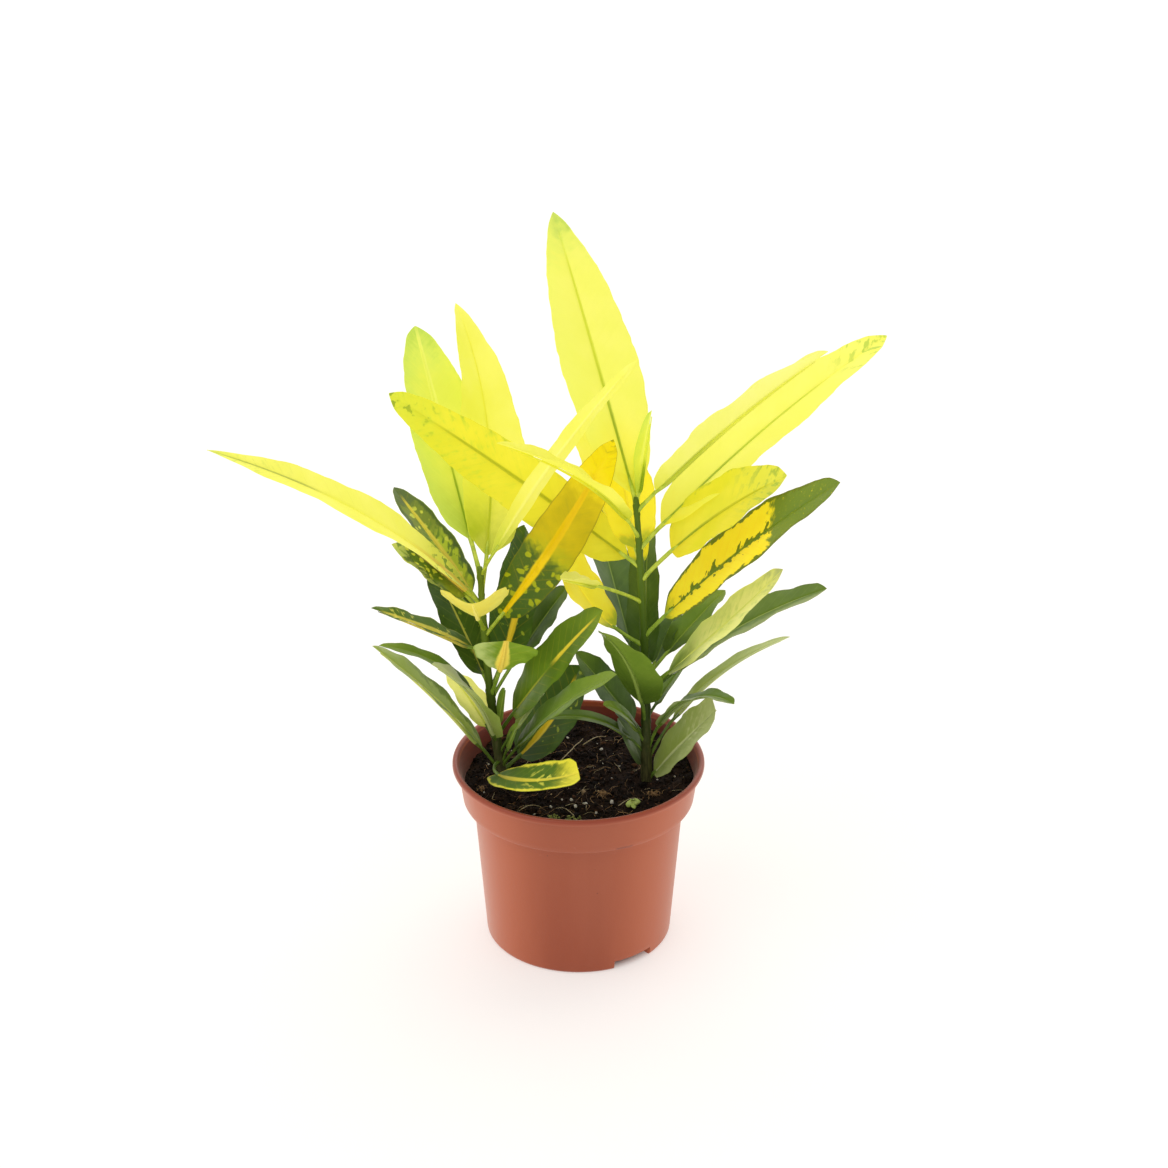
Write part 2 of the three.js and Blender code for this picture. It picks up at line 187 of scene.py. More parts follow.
class Heap:
    # gathers many small shapes into one mesh
    def __init__(self):
        self.points, self.faces, self.marks, self.extras, self.count = [], [], [], {}, 0

    def add(self, points, faces, mark=0, **extras):
        points = np.asarray(points, dtype=float)
        self.points.append(points)
        self.faces += [tuple(i + self.count for i in face) for face in faces]
        self.marks += mark if isinstance(mark, list) else [mark] * len(faces)
        for key, values in extras.items():
            self.extras.setdefault(key, []).append(np.asarray(values, dtype=float))
        self.count += len(points)

    def piece(self, name, materials, slotName, node=None):
        extras = {key: np.concatenate(values) for key, values in self.extras.items()}
        points = np.concatenate(self.points)
        return makePiece(name, points, self.faces, materials, self.marks, extras, node)


# leaves: sizes in mm and degrees, the same as in the part's source. at: height of the stalk's foot;
# heading: round the stem and up; bend: droop and swing over the length; size: stalk, blade and width;
# keep: less than 1 where the tip is cut off
def leaf(at, heading, bend, size, look, roll=0, fold=10, wave=0.7, keep=1, taper=0.5, cup=0.25):
    return dict(at=at, heading=heading, bend=bend, size=size, look=look, roll=roll, fold=fold,
                wave=wave, keep=keep, taper=taper, cup=cup)


leftPlant = {
    "foot": (-40, 3), "lean": -9, "bow": -1.5, "top": 207, "footRadius": 2.8, "topRadius": 1.6,
    "leaves": [
        leaf(202, (111, 44), (-6, 2), (19, 119, 43), "lime", roll=17),
        leaf(201, (-17, 63), (13, -5), (14, 133, 11), "paleLemon", roll=64, fold=14),
        leaf(192, (74, 55), (10, 48), (19, 138, 40), "lemon", roll=33),
        leaf(184, (204, 55), (42, -34), (9, 154, 24), "streakTip", roll=-16, fold=14, taper=0.8),
        leaf(184, (155, 52), (21, -24), (9, 68, 22), "mottled", roll=4, fold=14),
        leaf(180, (169, 52), (19, 9), (13, 40, 26), "spotted", roll=-11),
        leaf(176, (176, 50), (16, -2), (15, 46, 20), "paleStreaked", roll=-10, fold=14),
        leaf(172, (262, 42), (-3, 0), (19, 21, 38), "cutLemon", roll=5, fold=28, keep=0.6, cup=-0.9),
        leaf(168, (-12, 53), (-12, 15), (14, 112, 27), "gold", roll=88),
        leaf(158, (201, 34), (8, -8), (8, 59, 17), "darkLemon", roll=-3, fold=16),
        leaf(138, (143, 62), (14, -9), (8, 64, 30), "darkThinRib", roll=5),
        leaf(137, (50, 51), (-44, -14), (13, 77, 32), "darkRib"),
        leaf(134, (-58, 60), (0, -19), (22, 27, 34), "paleRib", roll=-13, fold=-12, keep=0.4, taper=1.2),
        leaf(132, (25, 57), (10, 0), (28, 42, 26), "dark"),
        leaf(114, (200, 73), (56, 6), (28, 61, 11), "midGreen", roll=-17, wave=0.4),
        leaf(110, (-29, 59), (9, 6), (19, 85, 31), "greenRib", roll=40),
        leaf(107, (-60, 80), (10, 0), (13, 24, 10), "youngGreen", roll=80, wave=0),
        leaf(104, (140, 56), (25, 0), (12, 36, 22), "cream", roll=10),
        leaf(100, (-40, 61), (10, 0), (21, 37, 14), "paleGreen", roll=40, wave=0),
        leaf(98, (230, 82), (46, -24), (13, 65, 24), "paleGreen", roll=-9),
        leaf(92, (-44, 56), (21, 0), (19, 98, 18), "midGreen", roll=38, fold=16),
        leaf(92, (-50, 70), (10, 0), (14, 21, 9), "youngGreen", roll=65, wave=0),
        leaf(96, (-110, 15), (-2, 116), (28, 55, 25), "edged", roll=10, fold=12, wave=0.3, keep=0.75),
        leaf(90, (15, 35), (-30, 16), (12, 58, 36), "darkRib", roll=15),
        leaf(89, (193, 60), (18, -5), (18, 84, 23), "greenPaleRib", roll=-3, fold=14),
    ],
}
rightPlant = {
    "foot": (35, -4), "lean": -7, "bow": 1.5, "top": 247, "footRadius": 3, "topRadius": 1.6,
    "leaves": [
        leaf(243, (118, 57), (10, -5), (5, 150, 40), "greenTip", roll=-6, wave=0.8, taper=0.68),
        leaf(242, (60, 74), (4, 0), (5, 42, 16), "lime", roll=-45, fold=20, wave=0),
        leaf(239, (-16, 51), (12, -1), (15, 113, 28), "cream", roll=-8, fold=36, wave=0.8),
        leaf(225, (236, 56), (34, -44), (15, 91, 18), "lemon", roll=-3, fold=24),
        leaf(219, (22, 43), (15, -1), (16, 146, 41), "mottledTip", roll=5),
        leaf(213, (125, 54), (12, 0), (17, 60, 32), "lemon", roll=10),
        leaf(209, (162, 33), (8, -5), (8, 145, 32), "mottledLemon", roll=-83),
        leaf(202, (-13, 52), (20, -7), (23, 73, 37), "lemonSpeckled", roll=33, fold=16, wave=0.8),
        leaf(199, (95, 38), (5, 0), (12, 36, 12), "goldPlain", roll=-10, wave=0.3),
        leaf(213, (122, 66), (1, 0), (6, 65, 30), "goldPlain", roll=-3),
        leaf(190, (209, 35), (20, -10), (29, 20, 22), "cream", roll=12, fold=18, wave=0.5),
        leaf(171, (-22, 52), (13, -7), (17, 124, 34), "goldEdged", roll=35, wave=0.8),
        leaf(166, (168, 22), (-50, -30), (17, 57, 34), "goldPlain", roll=8),
        leaf(147, (37, 40), (8, -4), (17, 45, 22), "midGreen", roll=-10),
        leaf(144, (65, 34), (6, 0), (13, 39, 20), "dark", roll=-30),
        leaf(141, (-31, 46), (-4, 26), (18, 85, 26), "creamGreen", roll=19),
        leaf(138, (113, 48), (18, -11), (25, 108, 34), "dark", roll=38),
        leaf(137, (-7, 50), (27, 0), (19, 92, 33), "leafGreen", roll=1, taper=0.4),
        leaf(132, (95, 71), (4, -15), (20, 77, 22), "dark", roll=-40),
        leaf(124, (50, 37), (10, 0), (10, 29, 14), "midGreen", roll=-30, wave=0),
        leaf(114, (241, 84), (40, -19), (21, 61, 31), "midGreen", roll=2),
        leaf(113, (165, 53), (8, -6), (11, 47, 26), "dark", roll=-3),
        leaf(106, (222, 74), (46, 0), (14, 35, 12), "midGreen", roll=-30, wave=0),
        leaf(102, (186, 65), (94, -12), (13, 57, 12), "midGreen", roll=1, wave=0),
        leaf(98, (13, 68), (50, -9), (28, 75, 16), "paleGreen", roll=-10, wave=0.3),
        leaf(95, (-23, 90), (89, -34), (28, 64, 16), "leafGreen", roll=1),
        leaf(92, (160, 72), (20, 0), (7, 27, 22), "greyGreen", wave=0),
        leaf(88, (-18, 55), (4, -3), (7, 53, 28), "paleBroad", roll=28, keep=0.8),
    ],
}
# heights in mm above the floor: the soil's middle, where the stems leave it, and their lower ends
soilLevel, surfaceLevel, rootEnd = 88.0, 90.0, 60.0


def stemCentre(plant, height):
    share = max(0.0, (height - surfaceLevel) / (plant["top"] - surfaceLevel))
    bow = plant["bow"] * math.sin(math.pi * min(share, 1.0))
    return np.array([plant["foot"][0] + plant["lean"] * share + bow, plant["foot"][1], height])


def leafAxes(one, share):
    turn = np.radians(one["heading"][0] + one["bend"][1] * share)
    rise = np.radians(one["heading"][1] - one["bend"][0] * share)
    along = np.stack([np.cos(rise) * np.cos(turn), np.cos(rise) * np.sin(turn), np.sin(rise)], -1)
    level = np.stack([np.sin(turn), -np.cos(turn), np.zeros_like(turn)], -1)
    roll = math.radians(one["roll"])
    side = level * math.cos(roll) + np.cross(along, level) * math.sin(roll)
    return along, side, np.cross(side, along)


def midrib(plant, one, steps=192):
    total = one["size"][0] + one["size"][1]
    along, _, _ = leafAxes(one, (np.arange(steps) + 0.5) / steps)
    start = stemCentre(plant, one["at"])
    return np.vstack([start, start + np.cumsum(along * (total / steps), axis=0)])


def pathPoint(points, share):
    place = np.clip(share, 0, 1) * (len(points) - 1)
    return np.stack([np.interp(place, np.arange(len(points)), points[:, k]) for k in range(3)], -1)


# across: where the mesh's lines run beside the midrib, as shares of half the width; widest: less than 1
# moves the widest place towards the stalk; tipFrom, baseTo and cutFrom: shares of the length; nicks: depth,
# turns per mm and shift of small waves along the edge; quilt: swelling between the side veins
bladeShape = {
    "across": (0.04, 0.1, 0.22, 0.36, 0.52, 0.68, 0.82, 0.93, 1), "rowsPerMm": 0.5, "extraRows": 12,
    "crowdEnds": 0.8, "widest": 0.8, "leastHalf": 0.35, "tipFrom": 0.955, "tipTaper": 0.8, "baseTo": 0.06,
    "baseTaper": 0.8, "cutFrom": 0.9, "cutRounding": 0.3, "nicks": ((0.012, 0.5, 9), (0.008, 1.1, 5)),
    "ripples": 3, "sideShift": 2, "smallWave": 0.25, "smallRipples": 2.7, "groove": 0.35,
    "grooveWidth": 0.8, "veinLean": 0.9, "quilt": 0.09, "quiltLength": 6.5,
}
# the stalk and the midrib that runs on under the blade; ribEnd and sinkOver are shares of the blade
stalkShape = {
    "rings": 34, "sides": 8, "radius": 0.62, "radiusPerWidth": 0.012, "ribEnd": 0.93, "ribTaper": 0.8,
    "ribTip": 0.16, "swell": 0.55, "swellLength": 3.5, "sink": 0.3, "sinkOver": 0.08, "blendFrom": 0.03,
}
seedShift = 40.0  # moves the patterns of one leaf away from those of the next


def halfWidth(one, t):
    shape = bladeShape

    def body(t):
        belly = np.maximum(0, np.sin(np.pi * (t * one["keep"]) ** shape["widest"]))
        return one["size"][2] / 2 * belly ** one["taper"]

    low, high, cut = shape["baseTo"], shape["tipFrom"], shape["cutFrom"]
    half = np.where(t < low, body(np.full_like(t, low)) * (t / low) ** shape["baseTaper"], body(t))
    if one["keep"] == 1:
        toTip = np.clip((1 - t) / (1 - high), 0, 1) ** shape["tipTaper"]
        half = np.where(t > high, body(np.full_like(t, high)) * toTip, half)
    else:  # a blade cut off short ends in a rounded corner
        half = half * (1 - shape["cutRounding"] * np.clip((t - cut) / (1 - cut), 0, 1) ** 3)
    return np.maximum(shape["leastHalf"], half)


def growBlade(heap, plant, one, seed, materialIndex):
    stalk, length, _ = one["size"]
    shape = bladeShape
    rows = int(length * shape["rowsPerMm"]) + shape["extraRows"]
    across = np.array([-a for a in reversed(shape["across"])] + [0, *shape["across"]])
    even = np.linspace(0, 1, rows + 1)
    t = even - shape["crowdEnds"] * np.sin(2 * math.pi * even) / (2 * math.pi)
    share = (stalk + t * length) / (stalk + length)
    centre = pathPoint(midrib(plant, one), share)
    _, side, face = leafAxes(one, share)
    nicks = sum(high * np.sin(t * length * perMm + seed * shift) for high, perMm, shift in shape["nicks"])
    half = (halfWidth(one, t) * (1 + nicks))[:, None]
    t, a = t[:, None], across[None, :]
    reach = np.abs(a) * half
    fold = math.radians(one["fold"])
    # the fold along the midrib, ripples that grow towards the edges, and a groove over the midrib
    lift = np.sin(fold) * half * ((1 + one["cup"]) * np.abs(a) - one["cup"] * a ** 2)
    phase = 2 * math.pi * shape["ripples"] * t + np.where(a > 0, 0, shape["sideShift"])
    calm = np.minimum(1, np.minimum(4 * t, 4 * (1 - t) + 0.2))
    ripple = one["wave"] * a ** 2 * np.sin(phase) * calm
    small = np.sin(phase * shape["smallRipples"] + seed * 7) * calm
    small = one["wave"] * shape["smallWave"] * np.abs(a) ** 3 * small
    groove = shape["groove"] * np.exp(-(reach / shape["grooveWidth"]) ** 2) * np.clip(1.2 - t, 0, 1)
    vein = t * length - shape["veinLean"] * reach
    quilt = np.sin(2 * math.pi * vein / shape["quiltLength"]) * np.minimum(1, reach / 3)
    quilt = shape["quilt"] * quilt * (1 - np.abs(a) ** 4)
    points = (centre[:, None, :]
              + side[:, None, :] * (np.sign(a) * reach * math.cos(fold))[..., None]
              + face[:, None, :] * (lift + ripple + small - groove + quilt)[..., None])
    count = len(across)
    corners = [i * count + j for i in range(rows) for j in range(count - 1)]
    faces = [(k, k + 1, k + count + 1, k + count) for k in corners]
    whole = reach.shape
    space = np.stack([np.sign(a) * reach, np.broadcast_to(t * length, whole),
                      np.full(whole, seed * seedShift)], -1)
    shares = np.stack([np.broadcast_to(t, whole), np.broadcast_to(a, whole), vein], -1)
    heap.add(points.reshape(-1, 3), faces, materialIndex,
             leafSpace=space.reshape(-1, 3), leafShare=shares.reshape(-1, 3))


def growStalk(heap, plant, one, seed, stalkMark, bladeMark):
    stalk, length, width = one["size"]
    shape = stalkShape
    count, sides = shape["rings"], shape["sides"]
    end = shape["ribEnd"] if one["keep"] == 1 else 1.0
    share = np.linspace(0, (stalk + end * length) / (stalk + length), count)
    centre = pathPoint(midrib(plant, one), share)
    _, side, face = leafAxes(one, share)
    fromStem = share * (stalk + length)
    t = (fromStem - stalk) / length  # less than 0 on the stalk, then the share of the blade
    onBlade = np.clip(t, 0, 1)
    radius = shape["radius"] + shape["radiusPerWidth"] * width
    radius = np.where(t < 0, radius, radius * (1 - onBlade) ** shape["ribTaper"] + shape["ribTip"])
    radius = radius + shape["swell"] * np.exp(-(fromStem / shape["swellLength"]) ** 2)
    sink = np.clip(t / shape["sinkOver"], 0, 1) * (radius + shape["sink"])
    points, faces = tubeGrid(centre - face * sink[:, None], radius, side, face, sides)
    nought = np.zeros(count)
    space = np.stack([nought, np.maximum(t, 0) * length, nought + seed * seedShift], -1)
    shares = np.stack([onBlade, nought, share * length], -1)
    # under the blade the midrib takes the blade's own finish
    marks = [bladeMark if place > shape["blendFrom"] else stalkMark for place in t[:-1]]
    marks = np.repeat(marks, sides).tolist() + [stalkMark, bladeMark]
    heap.add(points, faces, marks,
             leafSpace=np.repeat(space, sides, 0), leafShare=np.repeat(shares, sides, 0))


def thinFoot(red, green, blue):  # a narrow darker midrib in the lower half
    return (red, green, blue), 0.8, 0.2, 0.5


# leaf finishes, in screen colours.
# ground and shade: the main colours. base and end: colours near the stalk and the tip, with the
# shares of the length between which they fade. marks: kind of mark, its colour and its numbers.
# rib: colour of the midrib, half its width in mm and the part of the length that shows it.
# ribFoot: colour and half width of the midrib near the stalk, and the shares between which it ends.
# rim: colour of the very edge.
# glow: how much light comes through the blade. paintedFillLight: how brightly the blade glows in its own
# colour, painted light that stands in for the light other leaves throw on it.
# crowd: how much painted shade it gets low down near the stem.
leafLooks = {
    "lime": dict(ground=(238, 244, 98), shade=(226, 237, 84), base=((180, 206, 76), 0.06, 0.34),
        end=((218, 238, 106), 0.7, 0.92),
        marks=[("left", (208, 231, 96), 0.8, 0.5), ("tip", (178, 214, 80), 0.82, 1.02, 0.85),
               ("margin", (178, 212, 80), 0.86, 1.2, 0.6)], rib=((246, 250, 126), 2.4, 0.4, 1.0),
        ribFoot=thinFoot(140, 172, 48), glow=0.42),
    "lemon": dict(ground=(253, 250, 108), shade=(245, 244, 86), base=((180, 196, 44), 0.04, 0.24),
        marks=[("flecks", (224, 230, 60), 0.6, 0.8, 0.1, 0.55)], rib=((238, 238, 72), 0.8, 0.1, 0.9),
        ribFoot=thinFoot(196, 208, 60), glow=0.45),
    "paleLemon": dict(ground=(253, 251, 124), shade=(249, 248, 104), base=((206, 220, 74), 0.04, 0.24),
        marks=[], rib=((255, 253, 150), 0.9, 0.1, 0.9), glow=0.45),
    "streakTip": dict(ground=(252, 249, 112), shade=(243, 244, 92), base=((186, 198, 82), 0.02, 0.16),
        marks=[("flecks", (176, 200, 78), 0.5, 0.64, 0.62, 1.1),
               ("spotsLow", (122, 150, 50), 0.56, 0.6, 0.16), ("tip", (206, 224, 92), 0.86, 1.0, 0.6)],
        rib=((166, 180, 84), 1.0, 0.66, 1.0), ribFoot=((236, 208, 106), 1.9, 0.14, 0.34), glow=0.45),
    # the darker gold near the stalk is painted shade
    "greenTip": dict(ground=(253, 251, 115), shade=(246, 248, 102), base=((234, 226, 52), 0.0, 0.12),
        end=((218, 236, 98), 0.76, 0.94),
        marks=[("tip", (190, 216, 90), 0.88, 0.99, 1.0), ("left", (242, 248, 106), 0.6, 0.6)],
        rib=((216, 226, 66), 1.0, 0.0, 0.86), ribFoot=thinFoot(150, 178, 46), glow=0.42),
    "mottledTip": dict(ground=(253, 251, 112), shade=(249, 248, 98), base=((240, 233, 70), 0.0, 0.2),
        marks=[("flecks", (188, 212, 72), 0.49, 0.58, 0.72, 0.92),
               ("margin", (196, 216, 80), 0.92, 1.15, 0.4)], rib=((206, 220, 66), 0.9, 0.0, 0.74),
        ribFoot=thinFoot(150, 178, 52), glow=0.42),
    "mottledLemon": dict(ground=(246, 237, 60), shade=(236, 231, 50), base=((216, 208, 34), 0.0, 0.16),
        end=((212, 226, 64), 0.66, 1.0),
        marks=[("flecks", (204, 218, 48), 0.48, 0.66, 0.3, 0.8),
               ("spots", (136, 164, 34), 0.6, 0.66, 0.72, 1.0), ("margin", (160, 186, 50), 0.93, 1.1, 0.7)],
        rib=((188, 196, 34), 1.1, 0.0, 0.8), ribFoot=thinFoot(176, 186, 40), glow=0.4),
    "lemonSpeckled": dict(ground=(243, 235, 68), shade=(231, 229, 58), base=((238, 220, 40), 0.0, 0.2),
        end=((230, 231, 84), 0.6, 0.9),
        marks=[("flecks", (170, 190, 66), 0.5, 0.6, 0.5, 0.95),
               ("margin", (140, 168, 60), 0.94, 1.06, 0.8)], rib=((198, 200, 42), 1.0, 0.0, 0.85),
        ribFoot=thinFoot(150, 172, 48), glow=0.38),
    "cutLemon": dict(ground=(253, 242, 120), shade=(248, 230, 92),
        marks=[("margin", (226, 222, 96), 0.9, 1.1, 0.5)], rib=((255, 248, 150), 1.0, 0.0, 1.0), glow=0.4),
    "cream": dict(ground=(250, 248, 136), shade=(243, 245, 118), base=((226, 228, 76), 0.0, 0.2),
        marks=[("flecks", (214, 226, 110), 0.62, 0.76, 0.3, 0.7)], rib=((232, 236, 96), 0.8, 0.0, 0.9),
        ribFoot=thinFoot(190, 204, 78), glow=0.42, crowd=0.15),
    "gold": dict(ground=(210, 188, 0), shade=(190, 173, 0), base=((160, 172, 18), 0.34, 0.5),
        end=((248, 226, 16), 0.66, 0.84),
        marks=[("patches", (162, 152, 6), 0.54, 0.7, 0.45), ("foot", (58, 90, 16), 0.34, 0.42, 1.0),
               ("tip", (120, 122, 12), 0.97, 1.02, 0.9)], rib=((232, 196, 4), 2.3, 0.0, 0.8),
        rim=(104, 104, 12), glow=0.25, paintedFillLight=0.25),
    "goldPlain": dict(ground=(255, 240, 62), shade=(250, 230, 44), base=((140, 168, 50), 0.06, 0.16),
        marks=[("margin", (120, 148, 46), 0.94, 1.12, 0.8)], rib=((236, 226, 66), 0.8, 0.0, 0.9), glow=0.42,
        paintedFillLight=0.3),
    "goldEdged": dict(ground=(255, 234, 50), shade=(253, 225, 42), base=((150, 166, 44), 0.0, 0.1),
        marks=[("centre", (78, 106, 28), 0.08, 0.14, 1.0),
               ("slantTip", (84, 120, 48), 0.63, 0.66, 0.03, 0.72),
               ("margin", (72, 102, 34), 0.84, 0.9, 1.0)], rib=((92, 122, 34), 0.9, 0.0, 1.0),
        rim=(70, 98, 30), glow=0.3),
    "mottled": dict(ground=(190, 202, 64), shade=(172, 190, 58), end=((96, 114, 60), 0.4, 0.6),
        marks=[("flecks", (100, 128, 52), 0.52, 0.57, 0.0, 0.2), ("dotty", (206, 208, 84), 0.3, 0.0, 0.2),
               ("margin", (70, 92, 56), 0.62, 0.8, 1.0), ("tip", (84, 102, 66), 0.76, 0.86, 1.0)],
        rib=((226, 206, 84), 1.7, 0.0, 0.9), glow=0.22),
    "spotted": dict(ground=(98, 124, 40), shade=(80, 106, 30), base=((170, 182, 60), 0.12, 0.5),
        marks=[("dotty", (214, 216, 72), 0.34, 0.0, 0.2), ("margin", (70, 96, 36), 0.8, 1.0, 0.7)],
        rib=((222, 198, 104), 1.5, 0.0, 0.8), glow=0.2),
    "paleStreaked": dict(ground=(206, 212, 110), shade=(178, 198, 90),
        marks=[("flecks", (110, 140, 66), 0.52, 0.58, 0.0, 0.3),
               ("margin", (240, 236, 130), 0.86, 1.0, 0.7)], rib=((150, 180, 80), 0.8, 0.0, 0.9), glow=0.3),
    "darkLemon": dict(ground=(98, 126, 44), shade=(82, 108, 34),
        marks=[("flecks", (224, 218, 96), 0.54, 0.6, 0.1, 0.3), ("margin", (84, 110, 38), 0.7, 0.9, 0.9),
               ("tip", (92, 116, 46), 0.8, 0.9, 1.0)], rib=((240, 222, 104), 2.4, 0.1, 0.9),
        rim=(206, 206, 110), glow=0.25),
    "darkRib": dict(ground=(78, 106, 34), shade=(58, 84, 24),
        marks=[("spots", (148, 162, 44), 0.66, 0.7, 0.0, 0.1), ("margin", (112, 138, 52), 0.94, 1.06, 0.6)],
        rib=((250, 212, 48), 2.1, 0.0, 0.88), glow=0.12, paintedFillLight=0.2),
    "darkThinRib": dict(ground=(72, 98, 30), shade=(54, 80, 20),
        marks=[("spots", (130, 150, 44), 0.68, 0.72, 0.0, 0.1),
               ("margin", (106, 132, 50), 0.94, 1.06, 0.6)], rib=((204, 198, 90), 0.7, 0.0, 0.9),
        glow=0.12),
    # the bluish-grey left half of these leaves is a painted sheen
    "dark": dict(ground=(82, 108, 38), shade=(64, 90, 28), end=((104, 130, 48), 0.6, 1.0),
        marks=[("left", (84, 106, 62), 0.5, 0.4)], rib=((130, 152, 74), 0.5, 0.0, 0.9), glow=0.12),
    "greyGreen": dict(ground=(104, 120, 78), shade=(86, 106, 58), marks=[],
        rib=((150, 164, 120), 0.7, 0.0, 1.0), glow=0.14),
    "midGreen": dict(ground=(120, 146, 50), shade=(102, 132, 38), base=((76, 100, 26), 0.12, 0.42),
        end=((132, 154, 62), 0.6, 1.0),
        marks=[("margin", (158, 180, 80), 0.95, 1.1, 0.6)], rib=((142, 164, 70), 0.6, 0.0, 0.9), glow=0.18),
    # the paler grey-green right half of these leaves is a painted reflection
    "leafGreen": dict(ground=(106, 131, 50), shade=(92, 118, 40),
        marks=[("right", (156, 168, 112), 0.8, 0.3)], rib=((158, 174, 104), 0.8, 0.0, 0.9), glow=0.18),
    "youngGreen": dict(ground=(140, 166, 64), shade=(118, 148, 50), marks=[],
        rib=((176, 194, 90), 0.6, 0.0, 0.9), glow=0.22),
    "greenRib": dict(ground=(108, 136, 30), shade=(88, 116, 24), end=((126, 150, 40), 0.7, 1.0),
        marks=[("left", (86, 112, 24), 0.6, 0.4), ("margin", (160, 178, 60), 0.96, 1.1, 0.5)],
        rib=((238, 214, 60), 1.7, 0.52, 0.92), ribFoot=thinFoot(190, 190, 70), glow=0.16),
    "paleRib": dict(ground=(126, 154, 42), shade=(110, 140, 36),
        marks=[("right", (178, 191, 112), 0.9, 0.4)], rib=((250, 228, 96), 3.4, 0.0, 1.0),
        ribFoot=((242, 212, 92), 1.6, 0.9, 1.2), glow=0.25, paintedFillLight=0.35, crowd=0.1),
    "paleGreen": dict(ground=(170, 185, 92), shade=(154, 172, 76), end=((222, 228, 176), 0.35, 0.9),
        marks=[("left", (130, 152, 60), 0.45, 0.4)], rib=((206, 214, 140), 0.9, 0.0, 0.9), glow=0.3,
        crowd=0.25),
    "paleBroad": dict(ground=(150, 166, 80), shade=(132, 150, 64), end=((206, 212, 146), 0.5, 1.0),
        marks=[("right", (196, 204, 140), 0.6, 0.4), ("flecks", (206, 210, 146), 0.46, 0.7, 0.3, 0.7),
               ("margin", (206, 212, 140), 0.92, 1.05, 0.8)], rib=((206, 212, 150), 1.1, 0.0, 1.0),
        glow=0.28, crowd=0.2),
    "creamGreen": dict(ground=(240, 240, 150), shade=(228, 234, 130), base=((96, 124, 36), 0.1, 0.36),
        marks=[("left", (196, 210, 116), 0.7, 0.45), ("flecks", (196, 208, 112), 0.46, 0.7, 0.0, 0.3),
               ("tip", (158, 172, 122), 0.84, 1.0, 0.8)], rib=((214, 220, 118), 0.9, 0.1, 1.0), glow=0.38,
        paintedFillLight=0.25, crowd=0.3),
    "edged": dict(ground=(104, 134, 42), shade=(86, 118, 34),
        marks=[("flecks", (222, 220, 84), 0.56, 0.62, 0.2, 0.8), ("margin", (243, 231, 68), 0.74, 0.9, 1.0),
               ("tip", (246, 234, 66), 0.72, 0.98, 1.0)], rib=((240, 224, 76), 1.6, 0.0, 1.0), glow=0.2),
    "greenPaleRib": dict(ground=(108, 130, 40), shade=(96, 120, 34), end=((200, 212, 140), 0.45, 0.85),
        marks=[("centre", (174, 191, 96), 0.45, 0.75, 0.9)], rib=((216, 220, 122), 1.1, 0.2, 1.0), glow=0.3,
        crowd=0.25),
}

# the patterns on a blade (scales per mm, shifts in mm) and the finish that all blades share, with the
# painted shade low down near the stem and the painted fill light
leafGrain = {
    "wide": 0.055, "round": 0.26, "fine": 0.9, "dots": 0.2, "dotShift": 5.0, "dotDrift": 6.0,
    "drawn": (0.3, 0.11), "veinGap": 3.2, "veins": 0.2, "crowd": 0.55, "crowdTone": (34, 50, 14),
    "paintedFillLight": 0.12, "roughness": (0.34, 0.46), "relief": 0.0003,
}


class LeafMarks:
    # where a leaf's second colour lies, as masks from 0 to 1. A mark is nothing at low and full at high;
    # most is its strength at most, and soft is how wide its border is
    def __init__(self, paint):
        grain, self.paint = leafGrain, paint
        reach, alongMm, seed = paint.parts(paint.attribute("leafSpace"))
        self.t, self.across, self.vein = paint.parts(paint.attribute("leafShare"))
        self.away = reach.size()
        flat = paint.vector(reach, alongMm, seed)
        self.wide = paint.clouds(flat, grain["wide"], 3.0)
        self.round = paint.clouds(flat, grain["round"], 2.0, 0.4)
        self.fine = paint.clouds(flat, grain["fine"], 2.0)
        loose = paint.vector(reach + (self.round - 0.5) * grain["dotShift"],
                             alongMm + (self.wide - 0.5) * grain["dotDrift"], seed)
        self.dots = paint.cells(loose, grain["dots"])
        alongVeins, fromRib = grain["drawn"]  # drawn out along the side veins
        drawn = paint.vector(self.vein * alongVeins, self.away * fromRib, seed)
        self.drawn = paint.clouds(drawn, 1.0, 3.0, 0.6)
        self.edge = (self.round - 0.5) * 0.5 + (self.drawn - 0.5) * 0.5

    def tip(self, low, high, most):
        return self.paint.step(self.t + self.edge * 0.3, low, high) * most

    def slantTip(self, low, high, slant, specks):
        # the upper half of the blade keeps its ground colour further; specks of it stay beyond
        beyond = self.paint.step(self.t + self.across * slant + self.edge * 0.16, low, high)
        return beyond * self.paint.fade(self.fine, specks, specks + 0.03)

    def margin(self, low, high, most):
        return self.paint.step(self.across.size() + self.edge * 0.7, low, high) * most

    def left(self, most, soft):
        return self.paint.step(self.across * -1.0 + self.edge, 0.5 - soft, 0.5 + soft) * most

    def right(self, most, soft):
        return self.paint.step(self.across + self.edge, 0.5 - soft, 0.5 + soft) * most

    def centre(self, low, high, most):
        return self.paint.fade(self.across.size() + self.edge * 1.6, low, high) * most

    def spots(self, low, high, start, full):
        return self.paint.step(self.round, low, high) * self.paint.step(self.t, start, full)

    def spotsLow(self, low, high, end):
        return self.paint.step(self.round, low, high) * self.paint.fade(self.t, end, end + 0.08)

    def patches(self, low, high, most):
        return self.paint.step(self.wide * 0.5 + self.drawn * 0.5, low, high) * most

    def flecks(self, low, high, start, full):
        gather = self.paint.step(self.t, start, full)
        return self.paint.step(self.drawn * 0.6 + self.round * 0.4, low, high) * gather

    def dotty(self, size, start, full):
        return self.paint.fade(self.dots, size - 0.04, size + 0.04) * self.paint.step(self.t, start, full)

    def foot(self, low, high, most):
        # dark near the stalk, with round dots left clear
        up = self.t + self.across * 0.02 + self.edge * 0.16
        dotted = self.paint.step(self.dots, 0.26, 0.38, 0.1, 1.0)
        return self.paint.fade(up, low, high) * dotted * most


